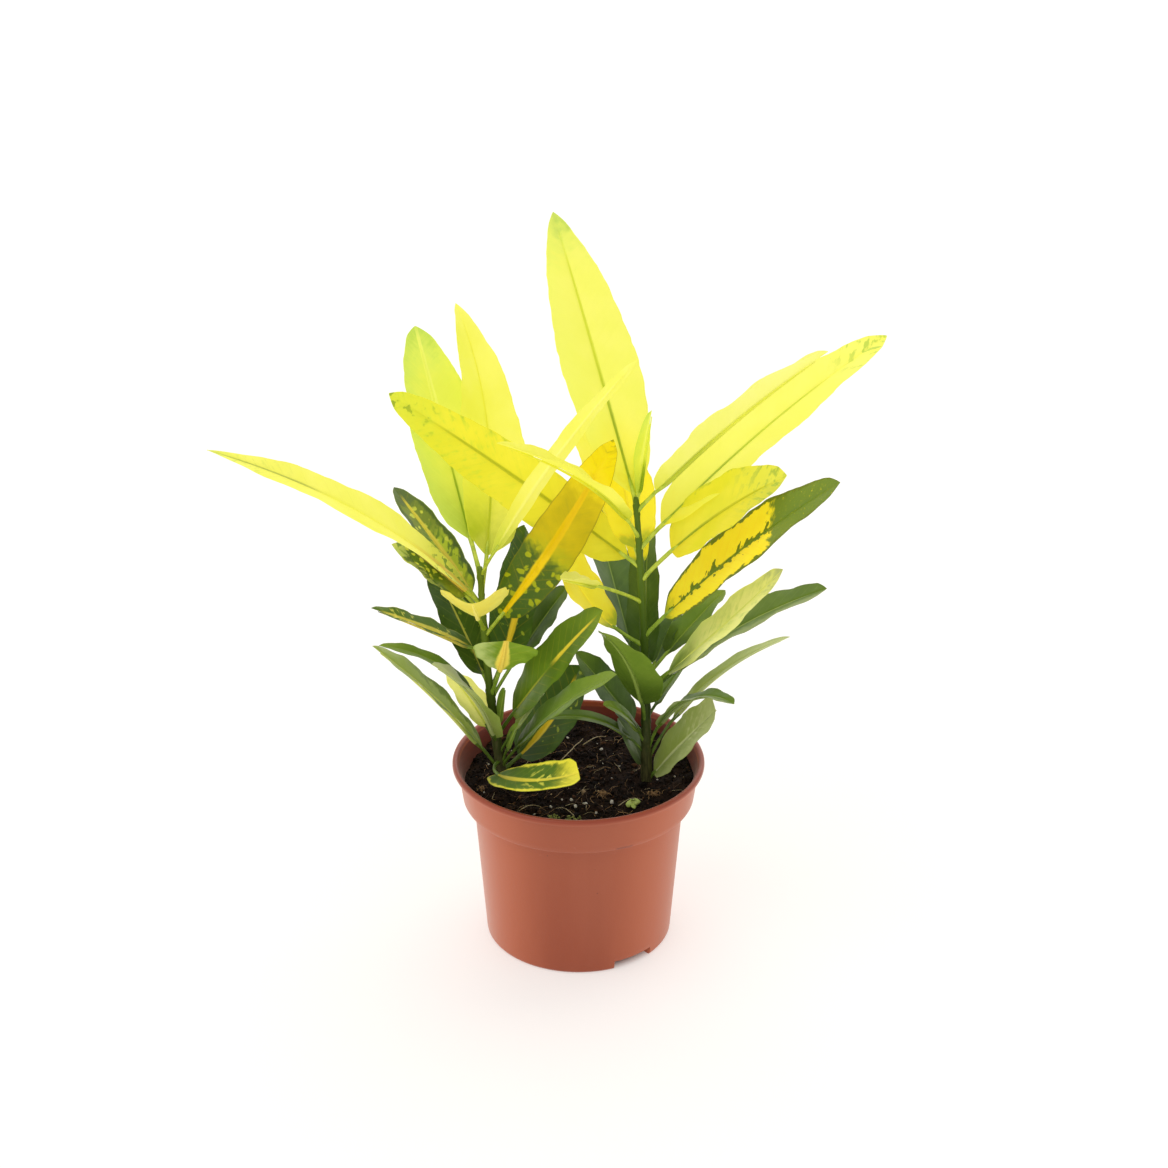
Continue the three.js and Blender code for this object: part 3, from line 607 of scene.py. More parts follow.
def paintVeins(paint, where, look, colour, veinWave):
    t, away = where.t, where.away
    ribColour, ribWidth, ribFrom, ribTo = look["rib"]
    # the midrib is narrow at its foot, widest at a third and thins out to the tip
    halfRib = paint.step(t, 0.0, 0.3, 0.4, 1.0) * paint.step(t, 0.3, 1.0, ribWidth, ribWidth * 0.4)
    rib = paint.fade(away / halfRib + where.edge * 0.5, 0.75, 1.3)
    rib = rib * paint.step(t, ribFrom - 0.08, ribFrom + 0.04) * paint.fade(t, ribTo - 0.1, ribTo + 0.05)
    colour = paint.blend(rib, colour, ribColour)
    if "ribFoot" in look:
        footColour, footWidth, low, high = look["ribFoot"]
        lowRib = paint.fade(away + where.edge * 0.5, footWidth * 0.6, footWidth * 1.2)
        colour = paint.blend(lowRib * paint.fade(t, low, high), colour, footColour)
    veinLine = paint.fade(veinWave, 0.0, 0.6) * paint.step(away, 0.6, 2.5)
    veinLine = veinLine * paint.step(where.across.size(), 0.6, 1.0, 1.0, 0.1)
    return paint.blend(veinLine * where.drawn * leafGrain["veins"], colour, ribColour)


def leafMaterial(name, look):
    paint = Paint(name + "Leaf")
    where, grain = LeafMarks(paint), leafGrain
    t, ground, shade = where.t, look["ground"], look["shade"]
    colour = paint.blend(paint.step(where.wide, 0.36, 0.66), ground, shade)
    colour = paint.blend(paint.step(where.drawn, 0.45, 0.75) * 0.35, colour, shade)
    if "base" in look:
        nearBase, low, high = look["base"]
        colour = paint.blend(paint.fade(t + where.edge * 0.15, low, high), colour, nearBase)
    if "end" in look:
        nearTip, low, high = look["end"]
        colour = paint.blend(paint.step(t + where.edge * 0.25, low, high), colour, nearTip)
    marked = None
    for kind, markColour, *numbers in look["marks"]:
        mask = getattr(where, kind)(*numbers)
        colour = paint.blend(mask, colour, markColour)
        marked = mask if marked is None else marked.most(mask)
    veinWave = where.vein.triangle(grain["veinGap"])
    colour = paintVeins(paint, where, look, colour, veinWave)
    colour = paint.blend(paint.step(where.fine, 0.55, 0.8) * 0.15, colour, shade)
    rim = paint.step(where.across.size(), 0.93, 0.99)
    colour = paint.blend(rim * 0.6, colour, look.get("rim", shade))
    # shade from the other leaves, low down and near the stem
    height = paint.parts(paint.place())[2]
    crowded = paint.fade(height, 0.09, 0.2) * paint.fade(t, 0.0, 0.6)
    colour = paint.blend(crowded * look.get("crowd", grain["crowd"]), colour, grain["crowdTone"])
    hollow = paint.step(where.away, 0.2, 1.6)
    relief = hollow + paint.step(veinWave, 0.0, 0.9) * 0.2 + where.round * 0.5
    # painted light: each blade glows a little in its own colour, to lift its shadows
    skin = paint.surface(Base_Color=colour, Roughness=paint.step(where.wide, 0.3, 0.7, *grain["roughness"]),
                         Normal=paint.bump(relief, grain["relief"], 0.45), Specular_IOR_Level=0.22,
                         Emission_Color=colour, Emission_Strength=look.get("paintedFillLight", grain["paintedFillLight"]))
    behind = paint.node("ShaderNodeBsdfTranslucent", None, {"Color": tone(*ground)})
    # less light comes through the marks
    through = look["glow"] if marked is None else (1.0 - marked * 0.7) * look["glow"]
    return paint.finish(paint.node("ShaderNodeMixShader", None, {0: through, 1: skin, 2: behind}))


# light and dark colour of the stalks, for the top, the middle and the foot of a stem
stalkTones = {
    "youngStalk": ((206, 220, 78), (172, 194, 58)),
    "greenStalk": ((164, 190, 70), (130, 160, 50)),
    "oldStalk": ((104, 130, 44), (76, 102, 30)),
}
# levels: the last ring in the soil, the first above it and the gap between rings, in mm; node: the
# swelling at a leaf's foot; ages: shares of the height above which the stalks are young and green;
# freshWithShade, freshLitLeft and bark: dark and light green of the right and the left stem, and their old
# bark;
# the left stem's lighter greens are painted light, and the darker greens low down are partly painted shade
stemShape = {
    "sides": 20, "buried": 4, "levels": (84, 86, 1.5), "inset": 0.25, "node": 0.32, "nodeLength": 1.3,
    "tip": 0.7, "ages": (0.6, 0.3), "freshWithShade": ((50, 70, 18), (90, 116, 32)),
    "freshLitLeft": ((70, 92, 24), (112, 134, 42)), "bark": ((84, 82, 46), (58, 56, 32)),
}


def stalkMaterial(name, light, dark):
    paint = Paint(name)
    mottle = paint.clouds(paint.place(), 260.0, 3.0)
    colour = paint.blend(paint.step(mottle, 0.35, 0.7), light, dark)
    skin = paint.surface(Base_Color=colour, Roughness=0.36, Normal=paint.bump(mottle, 0.0002, 0.4),
                         Specular_IOR_Level=0.35)
    return paint.finish(skin)


def barkMaterial():
    paint = Paint("stemBark")
    x, _, z = paint.parts(paint.place())
    grain = paint.clouds(paint.stretch(paint.place(), (900.0, 900.0, 160.0)), 1.0, 4.0)
    # painted light and shade: the greens darken low down, partly as painted shade, and the left stem is
    # lighter, painted light
    freshWithShade = paint.blend(paint.step(z, 0.13, 0.21), *stemShape["freshWithShade"])
    freshLitLeft = paint.blend(paint.step(z, 0.12, 0.17), *stemShape["freshLitLeft"])
    freshWithShade = paint.blend(paint.step(x, -0.01, 0.01), freshLitLeft, freshWithShade)
    old = paint.blend(paint.step(grain, 0.35, 0.65), *stemShape["bark"])
    colour = paint.blend(paint.step(z + (grain - 0.5) * 0.05, 0.085, 0.15), old, freshWithShade)
    skin = paint.surface(Base_Color=colour, Roughness=0.6, Normal=paint.bump(grain, 0.0005, 0.6),
                         Specular_IOR_Level=0.2)
    return paint.finish(skin)


print("leaf finishes")
lookNames = sorted(leafLooks)
leafMaterials = [leafMaterial(name, leafLooks[name]) for name in lookNames]
stalkMaterials = [stalkMaterial(name, *tones) for name, tones in stalkTones.items()]
bark = barkMaterial()


def growPlant(name, plant, nodeName, firstSeed):
    shape, top = stemShape, plant["top"]
    blades, stalks = Heap(), Heap()
    for i, one in enumerate(plant["leaves"]):
        seed = firstSeed + i * 0.37
        lookIndex = lookNames.index(one["look"])
        high = (one["at"] - surfaceLevel) / (top - surfaceLevel)
        age = sum(high <= limit for limit in shape["ages"])
        growBlade(blades, plant, one, seed, lookIndex)
        growStalk(stalks, plant, one, seed, age, len(stalkMaterials) + lookIndex)
    blades.piece(name + "Blades", leafMaterials, "foliage", nodeName)
    stalks.piece(name + "Stalks", stalkMaterials + leafMaterials, "foliage")
    # the stem, swollen a little at every leaf foot
    buriedTop, start, apart = shape["levels"]
    buried = np.linspace(rootEnd, buriedTop, shape["buried"])
    levels = np.concatenate([buried, np.arange(start, top + 0.1, apart)])
    centres = np.array([stemCentre(plant, z) for z in levels])
    share = np.clip((levels - surfaceLevel) / (top - surfaceLevel), 0, 1)
    radii = plant["footRadius"] + (plant["topRadius"] - plant["footRadius"]) * share - shape["inset"]
    for one in plant["leaves"]:
        radii = radii + shape["node"] * np.exp(-((levels - one["at"] + 1) / shape["nodeLength"]) ** 2)
    radii = np.where(levels > top - 1, radii * shape["tip"], radii)
    axisX, axisY = np.tile([1.0, 0, 0], (len(levels), 1)), np.tile([0, 1.0, 0], (len(levels), 1))
    points, faces = tubeGrid(centres, radii, axisX, axisY, shape["sides"])
    makePiece(name + "Stem", points, faces, [bark])


print("growing the plants")
growPlant("left", leftPlant, "left_leafy_stem", 1.0)
growPlant("right", rightPlant, "right_leafy_stem", 30.0)


# the grower's pot: sizes in mm, the headings of its two drainage channels in degrees, and its finish in
# screen colours, with a painted highlight down both sides and painted shade on the inner wall.
# drainFrom: how far from the middle the channels begin
potLook = {
    "height": 100, "rim": 65, "lipInner": 62.7, "lipHeight": 3.5, "collarTop": 62.2, "collarFoot": 59.8,
    "collarHeight": 21.5, "bodyTop": 54.5, "base": 48.7, "baseRounding": 2, "wall": 1.7, "floor": 2.3,
    "sides": 192, "drains": (-54, 126), "drainMouth": 23, "drainInner": 18, "drainHeight": 5,
    "drainFrom": 22, "drainRoof": 2, "softEdge": 0.35, "body": ((152, 66, 30), (159, 75, 41)),
    "flow": (172, 92, 62), "scuffs": (204, 140, 116), "paintedSideShine": (188, 93, 50), "seam": (206, 132, 104),
    "smudge": (112, 48, 30), "lip": (146, 56, 28), "inside": (122, 42, 18), "dirt": (58, 28, 16),
    "specks": (70, 42, 30),
}


def potMaterial():
    look, paint = potLook, Paint("terracottaPlastic")
    place = paint.place()
    x, y, z = paint.parts(place)
    flow = paint.clouds(paint.stretch(place, (30.0, 30.0, 6.0)), 1.0, 3.0)
    grain = paint.clouds(place, 1400.0, 2.0)
    scuffs = paint.clouds(paint.stretch(place, (140.0, 140.0, 420.0)), 1.0, 5.0, 0.7)
    body = paint.blend(paint.step(z, 0.0, 0.1), *look["body"])
    body = paint.blend(paint.step(flow, 0.35, 0.7) * 0.35, body, look["flow"])
    body = paint.blend(paint.step(scuffs, 0.66, 0.74) * 0.3, body, look["scuffs"])
    # painted highlight: paler towards both sides, where the plastic shines
    reach = paint.length(paint.vector(x, y, 0.0))
    body = paint.blend(paint.step((x + 0.002).size() / reach, 0.15, 0.9), body, look["paintedSideShine"])
    # a light seam and a dark smudge under the collar
    seam = paint.fade((z - 0.0783).size(), 0.0003, 0.0007) * paint.fade((x + 0.005).size(), 0.016, 0.019)
    body = paint.blend(seam * paint.step(scuffs, 0.42, 0.5) * 0.6, body, look["seam"])
    smudge = paint.fade((z - 0.0792).size() + (scuffs - 0.5) * 0.004, 0.0005, 0.0011)
    smudge = smudge * paint.fade((x - 0.023).size(), 0.003, 0.005) * paint.fade(y, -0.02, 0.0)
    body = paint.blend(smudge * 0.5, body, look["smudge"])
    # the lip is a deeper red; the inner wall is a darker red, which is painted shade; and soil is left on
    # the inside above the surface
    inside = paint.fade(reach - (z - 0.0865) * 0.133, 0.0598, 0.0602) * paint.step(z, 0.082, 0.084)
    dirt = paint.fade(z + (scuffs - 0.5) * 0.02, 0.088, 0.096) * inside
    body = paint.blend(paint.step(z, 0.0972, 0.099) * 0.85, body, look["lip"])
    body = paint.blend(inside, body, look["inside"])
    colour = paint.blend(dirt * 0.5, body, look["dirt"])
    specks = paint.fade(paint.cells(place, 150.0), 0.05, 0.075)
    rare = paint.step(paint.clouds(place, 26.0, 2.0), 0.6, 0.68)
    colour = paint.blend(specks * rare * 0.7, colour, look["specks"])
    relief = paint.bump(grain * 0.4 + flow, 0.0003, 0.35)
    skin = paint.surface(Base_Color=colour, Roughness=paint.step(flow, 0.3, 0.7, 0.32, 0.44), Normal=relief,
                         IOR=1.48, Sheen_Weight=0.3, Sheen_Roughness=0.4, Sheen_Tint=(1.0, 0.82, 0.74, 1.0))
    return paint.finish(skin)


def potProfile():
    # radius and height in mm, up the outside and back down the inside
    p = potLook
    base, bodyTop, foot, top = p["base"], p["bodyTop"], p["collarFoot"], p["collarTop"]
    rim, inner, wall, high, rise = p["rim"], p["lipInner"], p["wall"], p["height"], p["baseRounding"]
    collar, lip = high - p["collarHeight"], high - p["lipHeight"]
    profile = [(0, 0), (base - 8, 0), (base - 2, 0), (base - 1.2, 0.12), (base - 0.55, 0.5),
               (base - 0.12, 1.2), (base, rise)]
    for i in range(1, 13):
        share = i / 13
        profile.append((base + (bodyTop - base) * share, rise + (collar - rise) * share))
    profile += [(bodyTop - 0.1, collar - 1.0), (bodyTop + 0.15, collar - 0.25), (bodyTop + 0.8, collar),
                (foot - 1.0, collar + 0.05), (foot - 0.35, collar + 0.25), (foot - 0.02, collar + 0.9)]
    for i in range(1, 8):
        share = i / 8
        profile.append((foot + (top - foot) * share, collar + 0.9 + (lip - collar - 0.9) * share))
    return profile + [(top + 0.05, lip - 0.3), (top + 0.5, lip + 0.05), (rim - 0.9, lip + 0.15),
                      (rim - 0.3, lip + 0.5), (rim - 0.02, lip + 1.2), (rim - 0.05, high - 1.3),
                      (rim - 0.35, high - 0.5), (rim - 0.95, high - 0.08), (rim - 1.4, high),
                      (inner + 0.2, high - 0.15), (inner - 0.35, high - 0.6), (inner - 0.7, high - 1.4),
                      (top - wall - 0.1, lip - 1), (foot - wall, collar + 3), (bodyTop - wall, collar),
                      (base - wall, p["floor"]), (0, p["floor"])]


def solidObject(name, mesh):
    bmesh.ops.recalc_face_normals(mesh, faces=mesh.faces)
    data = bpy.data.meshes.new(name)
    mesh.to_mesh(data)
    mesh.free()
    made = bpy.data.objects.new(name, data)
    scene.collection.objects.link(made)
    return made


def drainWedge(turn, grow, bottom, top, start, end):
    # a wedge with a round outer end, as wide as a drainage channel and grow more on each side
    p = potLook
    widen = (p["drainMouth"] - p["drainInner"]) / (p["base"] - p["drainFrom"])
    inner, outer = [(p["drainInner"] + widen * (radius - p["drainFrom"])) / 2 + grow
                    for radius in (start, end)]
    angles = [math.asin(outer / end) * i / 6 for i in range(-6, 7)]
    outline = [(start, inner), (start, -inner)]
    outline += [(end * math.cos(angle), end * math.sin(angle)) for angle in angles]
    spin = Matrix.Rotation(math.radians(turn), 3, "Z")
    wedge = bmesh.new()
    low, high = [[wedge.verts.new(spin @ Vector((x, y, height)) * mm) for x, y in outline]
                 for height in (bottom, top)]
    wedge.faces.new(list(reversed(low)))
    wedge.faces.new(high)
    for i in range(len(outline)):
        k = (i + 1) % len(outline)
        wedge.faces.new((low[i], low[k], high[k], high[i]))
    return solidObject("drainTool", wedge)


def buildPot():
    p = potLook
    sides = p["sides"]
    mesh = bmesh.new()
    rings = []
    for radius, height in potProfile():
        spots = circle(radius, sides) if radius else [(0, 0)]
        rings.append([mesh.verts.new((x * mm, y * mm, height * mm)) for x, y in spots])
    for low, high in zip(rings, rings[1:]):
        for i in range(sides):
            k = (i + 1) % sides
            if len(low) == 1:
                mesh.faces.new((low[0], high[k], high[i]))
            elif len(high) == 1:
                mesh.faces.new((low[i], low[k], high[0]))
            else:
                mesh.faces.new((low[i], low[k], high[k], high[i]))
    pot = solidObject("growerPot", mesh)
    # roofs over the drainage channels go on, then the channels are cut
    roof, start, base = p["drainRoof"], p["drainFrom"], p["base"]
    roofs = [drainWedge(turn, roof, 1, p["drainHeight"] + roof, start - roof, base - p["wall"] / 2)
             for turn in p["drains"]]
    channels = [drainWedge(turn, 0, -1, p["drainHeight"], start, base + 5) for turn in p["drains"]]
    for operation, tools in (("UNION", roofs), ("DIFFERENCE", channels)):
        for tool in tools:
            step = pot.modifiers.new("drain", "BOOLEAN")
            step.operation, step.object, step.solver = operation, tool, "EXACT"
    bevel = pot.modifiers.new("softEdges", "BEVEL")
    bevel.width, bevel.segments = p["softEdge"] * mm, 2
    bevel.limit_method, bevel.angle_limit = "ANGLE", math.radians(50)
    solid = bpy.data.meshes.new_from_object(pot.evaluated_get(bpy.context.evaluated_depsgraph_get()))
    pot.modifiers.clear()
    pot.data = solid
    solid.name = "growerPot"
    for tool in roofs + channels:
        bpy.data.objects.remove(tool)
    solid.materials.clear()
    solid.materials.append(potMaterial())
    solid.polygons.foreach_set("use_smooth", [True] * len(solid.polygons))
    solid.set_sharp_from_angle(angle=math.radians(35))
    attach(pot, "root")
    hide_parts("pot")


print("pot")
buildPot()


# potting soil: sizes in mm, and the numbers and places of what lies on it. under: radius and height of the
# rings below the surface; rough: coarse, middle and fine relief; lower: how far it is set down for that
soilLook = {
    "radius": 59.3, "rings": 62, "spokes": 240, "under": ((57.6, 82.4), (52.3, 78.2), (46.5, 7.0)),
    "riseRight": 2, "riseBack": 3, "riseOver": 62.2, "clod": 0.7, "rough": (1.5, 0.5, 0.25), "lower": 0.3,
    "crumbs": 2600, "crumbSize": 0.45, "largestCrumb": 2.6, "crumbShares": (0.5, 0.4, 0.1),
    "fibres": 260, "fibreLength": (3, 12), "fibreReach": (54, 58), "fibreShares": (0.4, 0.45, 0.15),
    # clumps of fibre: place, spread and number
    "clumps": ((12.5, -18, 4.2, 26), (37.6, -19, 3.6, 30), (-49.5, -9, 3.2, 14)),
    # long pale straws: start, heading in radians, length and radius
    "straws": (((-12, 8, 89.6), 1.1, 34, 0.35), ((2, 30, 90.4), 0.5, 16, 0.3),
               ((-2, -40, 88.6), 2.6, 12, 0.22), ((20, -30, 88.6), 0.3, 14, 0.2),
               ((-30, -35, 88.4), 0.4, 12, 0.25)),
    "grit": 70, "gritReach": 56, "gritSize": (0.3, 0.75), "whiteShare": 0.6,
    # larger grains: place and size
    "grains": ((2.5, -13.5, 1.5), (-3.5, -22, 1.0), (3.6, -26, 1.1), (17, -25, 1.2), (-1.5, -28, 1.1),
               (-14, -27, 0.9), (9, -34, 0.9), (-22, -33, 0.8), (46, 6, 0.9), (-6, 38, 1.0), (12, 26, 0.9)),
    "tufts": ((-11.7, -38.1), (-1.7, -38.6), (-6.5, -41.5)), "tuftLumps": 34, "seedling": (27.6, -29.2),
    # the seedling's leaves: their places beside and above its foot, and size
    "seedlingLeaves": ((-1.6, 0, 2.4, 1.9), (1.4, 0.3, 2.9, 2.0), (0.1, -0.8, 1.4, 1.6),
                       (0.3, 1.0, 3.6, 1.5)),
}


def soilHeight(x, y):
    look = soilLook
    slope = (look["riseRight"] * x + look["riseBack"] * y) / look["riseOver"]
    lumps = math.sin(x * 0.21 + 1) * math.cos(y * 0.26) + 0.5 * math.sin(x * 0.47 - y * 0.39)
    return soilLevel + slope + look["clod"] * lumps


def roughSoil(x, y):
    place = Vector((x, y, 0))
    coarse, middle, fine = soilLook["rough"]
    rough = coarse * noise.fractal(place * 0.16, 0.9, 2.1, 5) + middle * noise.noise(place * 0.9)
    return soilHeight(x, y) + rough + fine * noise.noise(place * 2.3) - soilLook["lower"]


def peatMaterial(name, light, middle, dark, scale=900.0):
    paint = Paint(name)
    place = paint.place()
    coarse = paint.clouds(place, scale * 0.18, 4.0, 0.6)
    grain = paint.clouds(place, scale, 5.0, 0.7)
    colour = paint.blend(paint.step(coarse, 0.4, 0.65), dark, middle)
    colour = paint.blend(paint.step(grain, 0.56, 0.72), colour, light)
    relief = paint.bump(grain * 0.8 + paint.cells(place, scale * 0.8), 0.0008, 0.9)
    skin = paint.surface(Base_Color=colour, Roughness=0.9, Normal=relief, Specular_IOR_Level=0.12)
    return paint.finish(skin)


def plainNatural(name, light, dark, scale=600.0, roughness=0.7, relief=0.0003):
    paint = Paint(name)
    cloud = paint.clouds(paint.place(), scale, 4.0)
    colour = paint.blend(paint.step(cloud, 0.35, 0.68), light, dark)
    skin = paint.surface(Base_Color=colour, Roughness=roughness, Normal=paint.bump(cloud, relief, 0.7))
    return paint.finish(skin)


def lump(dice, radius, squash=0.75, detail=1):
    ball = bmesh.new()
    bmesh.ops.create_icosphere(ball, subdivisions=detail, radius=1.0)
    shift = Vector((dice.uniform(-50, 50), dice.uniform(-50, 50), dice.uniform(-50, 50)))
    stretch = (dice.uniform(0.7, 1.3), dice.uniform(0.7, 1.2), squash * dice.uniform(0.7, 1.2))
    spin = Matrix.Rotation(dice.uniform(0, 6.28), 3, "Z") @ Matrix.Rotation(dice.uniform(-0.6, 0.6), 3, "X")
    points = []
    for vert in ball.verts:
        push = 1 + 0.45 * noise.noise(vert.co * 1.3 + shift) + 0.2 * noise.noise(vert.co * 3.1 + shift)
        points.append(spin @ Vector([c * s for c, s in zip(vert.co * push * radius, stretch)]))
    faces = [tuple(v.index for v in f.verts) for f in ball.faces]
    ball.free()
    return np.array(points), faces


def strand(dice, start, heading, length, radius, lift, curl, sides=4, steps=9):
    # a thin fibre that wanders over the surface
    points, place, turn = [], np.array(start, float), heading
    stride = length / (steps - 1)
    for i in range(steps):
        points.append(place.copy())
        turn += dice.uniform(-curl, curl)
        place = place + np.array([math.cos(turn) * stride, math.sin(turn) * stride, 0])
        share = (i + 1) / (steps - 1)
        place[2] = start[2] + lift * math.sin(math.pi * share) + dice.uniform(-0.15, 0.15)
    points = np.array(points)
    along = np.gradient(points, axis=0)
    along /= np.linalg.norm(along, axis=1)[:, None]
    side = np.cross(along, [0, 0, 1.0])
    side /= np.linalg.norm(side, axis=1)[:, None] + 1e-9
    radii = radius * np.linspace(1.0, 0.45, steps)
    return tubeGrid(points, radii, side, np.cross(side, along), sides)


def spot(dice, reach):
    away, turn = reach * math.sqrt(dice.random()), dice.uniform(0, 2 * math.pi)
    return away * math.cos(turn), away * math.sin(turn)


def clear(x, y, room=4.0):
    return all(math.hypot(x - p["foot"][0], y - p["foot"][1]) > room for p in (leftPlant, rightPlant))


def layBed():
    look = soilLook
    rings, spokes = look["rings"], look["spokes"]
    points = [(0, 0, roughSoil(0, 0))]
    for i in range(1, rings + 1):
        points += [(x, y, roughSoil(x, y)) for x, y in circle(look["radius"] * i / rings, spokes)]
    for radius, height in look["under"]:  # the sides and the underside inside the pot
        points += [(x, y, height) for x, y in circle(radius, spokes)]
    pairs = [(j, (j + 1) % spokes) for j in range(spokes)]
    faces = [(0, 1 + j, 1 + k) for j, k in pairs]
    for i in range(rings + len(look["under"]) - 1):
        low, high = 1 + i * spokes, 1 + (i + 1) * spokes
        faces += [(low + j, high + j, high + k, low + k) for j, k in pairs]
    faces.append(tuple(high + j for j in reversed(range(spokes))))
    peat = peatMaterial("darkPeat", (74, 54, 40), (46, 32, 24), (24, 16, 12), 700.0)
    makePiece("soilBed", points, faces, [peat], node="soil")


def scatterCrumbs(dice):
    look, crumbs = soilLook, Heap()
    for _ in range(look["crumbs"]):
        x, y = spot(dice, look["radius"] * 0.985)
        if not clear(x, y, 3.6):
            continue
        size = min(look["largestCrumb"], look["crumbSize"] * math.exp(abs(dice.gauss(0, 0.55))))
        shape, faces = lump(dice, size)
        kind = dice.choices((0, 1, 2), look["crumbShares"])[0]
        crumbs.add(shape + [x, y, roughSoil(x, y) + size * 0.15], faces, kind)
    kinds = [peatMaterial("peatCrumb", (84, 60, 42), (52, 36, 27), (30, 20, 15)),
             peatMaterial("blackPeat", (50, 38, 30), (30, 22, 17), (16, 12, 9)),
             peatMaterial("brownCrumb", (134, 96, 66), (98, 66, 44), (66, 44, 30))]
    crumbs.piece("soilCrumbs", kinds, "soil")


def scatterFibres(dice):
    look, fibres = soilLook, Heap()
    within, limit = look["fibreReach"]
    for _ in range(look["fibres"]):
        x, y = spot(dice, within)
        length = dice.uniform(*look["fibreLength"])
        if not clear(x, y) or math.hypot(x, y) + length > limit:
            continue
        start = (x, y, roughSoil(x, y) + 0.3)
        shape, faces = strand(dice, start, dice.uniform(0, 6.28), length,
                              dice.uniform(0.09, 0.2), dice.uniform(0.2, 1.6), 0.5)
        fibres.add(shape, faces, dice.choices((0, 1, 2), look["fibreShares"])[0])
    for x, y, spread, count in look["clumps"]:
        for _ in range(count):
            start = (x + dice.gauss(0, 1.1), y + dice.gauss(0, 1.1),
                     roughSoil(x, y) + dice.uniform(0.2, 1.4))
            shape, faces = strand(dice, start, dice.uniform(0, 6.28), dice.uniform(0.5, 1.0) * spread,
                                  dice.uniform(0.12, 0.26), dice.uniform(0.4, 1.8), 0.45)
            fibres.add(shape, faces, 0)
    for start, heading, length, radius in look["straws"]:
        shape, faces = strand(dice, start, heading, length, radius, 2.2, 0.12, sides=6, steps=14)
        fibres.add(shape, faces, 2)
    kinds = [plainNatural("tanFibre", (176, 138, 92), (126, 92, 58)),
             plainNatural("darkFibre", (96, 66, 44), (60, 42, 30)),
             plainNatural("paleFibre", (206, 190, 150), (160, 138, 98))]
    fibres.piece("soilFibres", kinds, "soil")


def scatterGrains(dice):
    look, grains = soilLook, Heap()
    for _ in range(look["grit"]):
        x, y = spot(dice, look["gritReach"])
        if not clear(x, y):
            continue
        size = dice.uniform(*look["gritSize"])
        shape, faces = lump(dice, size, 0.8)
        kind = 0 if dice.random() < look["whiteShare"] else 1
        grains.add(shape + [x, y, roughSoil(x, y) + size * 0.6], faces, kind)
    for x, y, size in look["grains"]:
        shape, faces = lump(dice, size, 0.85, 2)
        grains.add(shape + [x, y, roughSoil(x, y) + size * 0.5], faces, 0 if size < 1.3 else 1)
    kinds = [plainNatural("perlite", (214, 208, 196), (176, 168, 152), 1200.0, 0.85, 0.0004),
             plainNatural("tanGrain", (178, 150, 112), (140, 112, 80), 900.0, 0.85, 0.0004)]
    grains.piece("soilGrains", kinds, "soil")


def growSprouts(dice):
    look, sprouts = soilLook, Heap()
    for tuftX, tuftY in look["tufts"]:
        for _ in range(look["tuftLumps"]):
            shape, faces = lump(dice, dice.uniform(0.35, 0.8), 0.7)
            x, y = tuftX + dice.gauss(0, 1.6), tuftY + dice.gauss(0, 1.3)
            sprouts.add(shape + [x, y, roughSoil(x, y) + dice.uniform(0.3, 1.2)], faces, 0)
    x, y = look["seedling"]
    for i, (beside, behind, above, size) in enumerate(look["seedlingLeaves"]):
        shape, faces = lump(dice, size, 0.3, 2)
        tilt = np.array(Matrix.Rotation(0.7 - 0.3 * i, 3, "X"))
        sprouts.add(shape @ tilt.T + [x + beside, y + behind, roughSoil(x, y) + above], faces, 1)
    kinds = [plainNatural("mossGreen", (150, 156, 78), (104, 112, 52), 900.0, 0.75),
             plainNatural("seedlingGreen", (196, 212, 112), (160, 184, 84), 400.0, 0.5)]
    sprouts.piece("soilSprouts", kinds, "soil")


print("soil")
soilDice = random.Random(11)
layBed()
scatterCrumbs(soilDice)
scatterFibres(soilDice)
scatterGrains(soilDice)
growSprouts(soilDice)
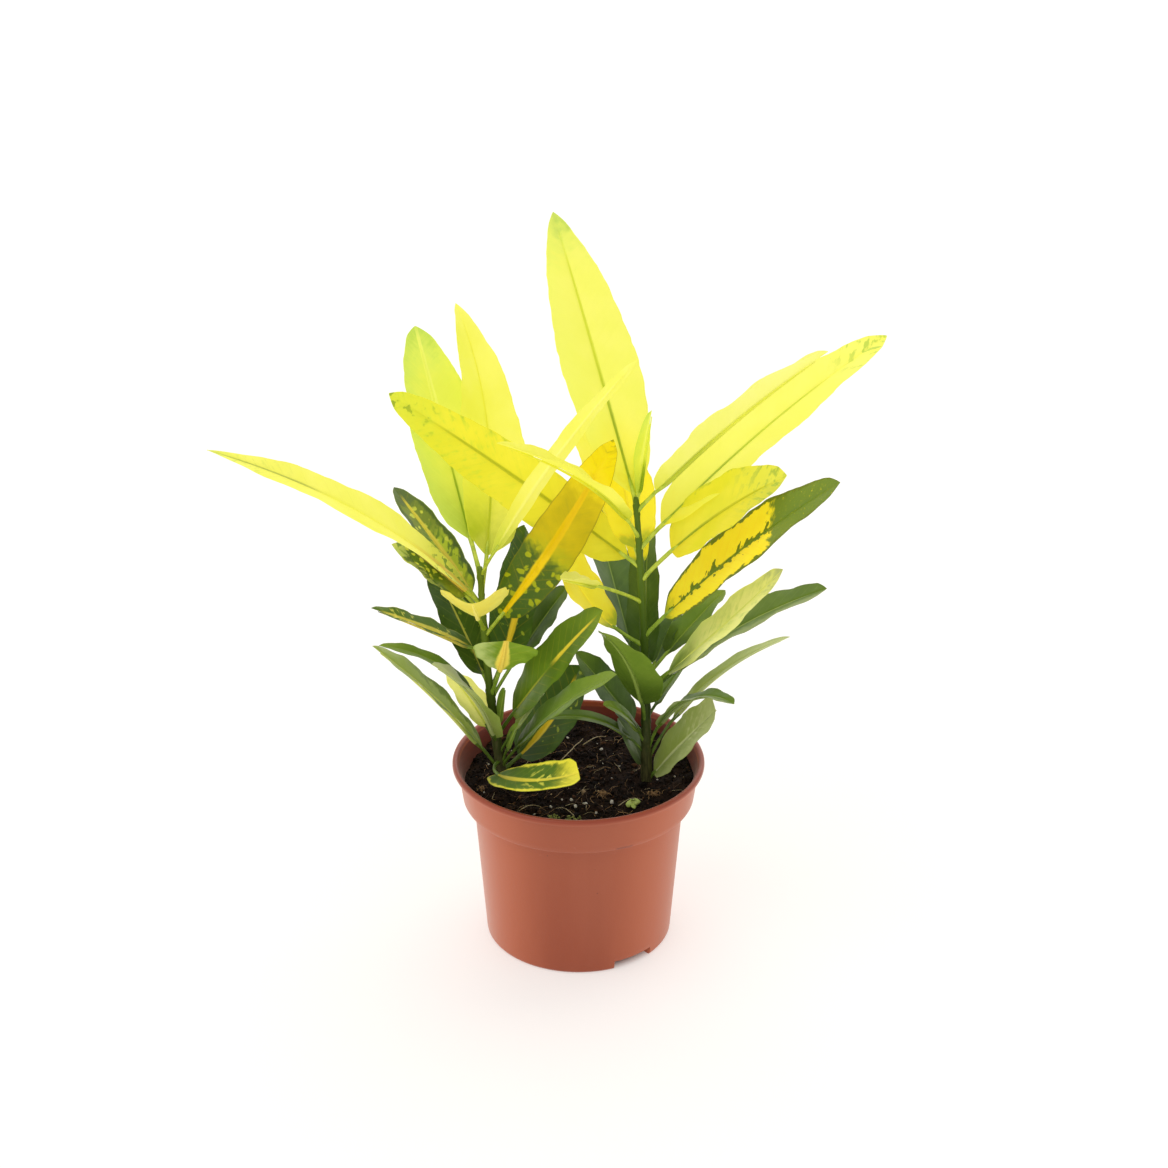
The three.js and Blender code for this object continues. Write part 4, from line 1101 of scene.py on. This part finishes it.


# floor, light and camera. suns: name, strength, softness in degrees, and where the light comes from;
# contactShadow: the distances from the middle, in metres, between which the floor's own light begins;
# nearer the middle the floor is painted dark, a shadow under the pot
stageLook = {
    "floor": ((206, 203, 200), (204, 200, 197)), "floorHalf": 6.0, "floorGlow": 0.48,
    "contactShadow": (0.0415, 0.0495), "glow": ((30, 18, 14), (255, 251, 248)),
    "sky": 0.7, "skyColour": (1.0, 0.997, 0.99, 1.0),
    "suns": (("overBack", 0.85, 70, (0.3, 0.9, 1.1)), ("softKey", 0.54, 60, (-0.8, -0.5, 1.0))),
    "camera": (2.85, -1000, 656), "lookDown": 24.6, "lens": 68.18, "film": 36.0,
}


def floorMaterial():
    look, paint = stageLook, Paint("paleFloor")
    cloud = paint.clouds(paint.place(), 3.0, 2.0)
    colour = paint.blend(paint.step(cloud, 0.3, 0.7) * 0.3, *look["floor"])
    # painted shadow: the floor gives off no light under the pot and its own even light beyond it
    glow = paint.blend(paint.step(paint.length(paint.place()), *look["contactShadow"]), *look["glow"])
    return paint.finish(paint.surface(Base_Color=colour, Roughness=0.85, Emission_Color=glow,
                                      Emission_Strength=look["floorGlow"]))


def buildStage():
    look = stageLook
    half = look["floorHalf"]
    mesh = bpy.data.meshes.new("studioFloor")
    corners = [(-half, -half, 0), (half, -half, 0), (half, half, 0), (-half, half, 0)]
    mesh.from_pydata(corners, [], [(0, 1, 2, 3)])
    mesh.materials.append(floorMaterial())
    floor = bpy.data.objects.new("studioFloor", mesh)
    scene.collection.objects.link(floor)
    world = bpy.data.worlds.new("whiteStudio")
    world.use_nodes = True
    sky = world.node_tree.nodes["Background"].inputs
    sky["Color"].default_value, sky["Strength"].default_value = look["skyColour"], look["sky"]
    scene.world = world
    for name, strength, softness, toLight in look["suns"]:
        lamp = bpy.data.lights.new(name, "SUN")
        lamp.energy, lamp.angle = strength, math.radians(softness)
        holder = bpy.data.objects.new(name, lamp)
        holder.rotation_euler = Vector(toLight).to_track_quat("Z", "Y").to_euler()
        scene.collection.objects.link(holder)
    camera = bpy.data.cameras.new("photoCamera")
    camera.lens, camera.sensor_width = look["lens"], look["film"]
    camera.clip_start, camera.clip_end = 0.01, 50.0
    eye = bpy.data.objects.new("photoCamera", camera)
    eye.location = Vector(look["camera"]) * mm
    eye.rotation_euler = (math.radians(90 - look["lookDown"]), 0, 0)
    scene.collection.objects.link(eye)
    scene.camera = eye
    scene.view_settings.view_transform = "Standard"


print("stage")
buildStage()
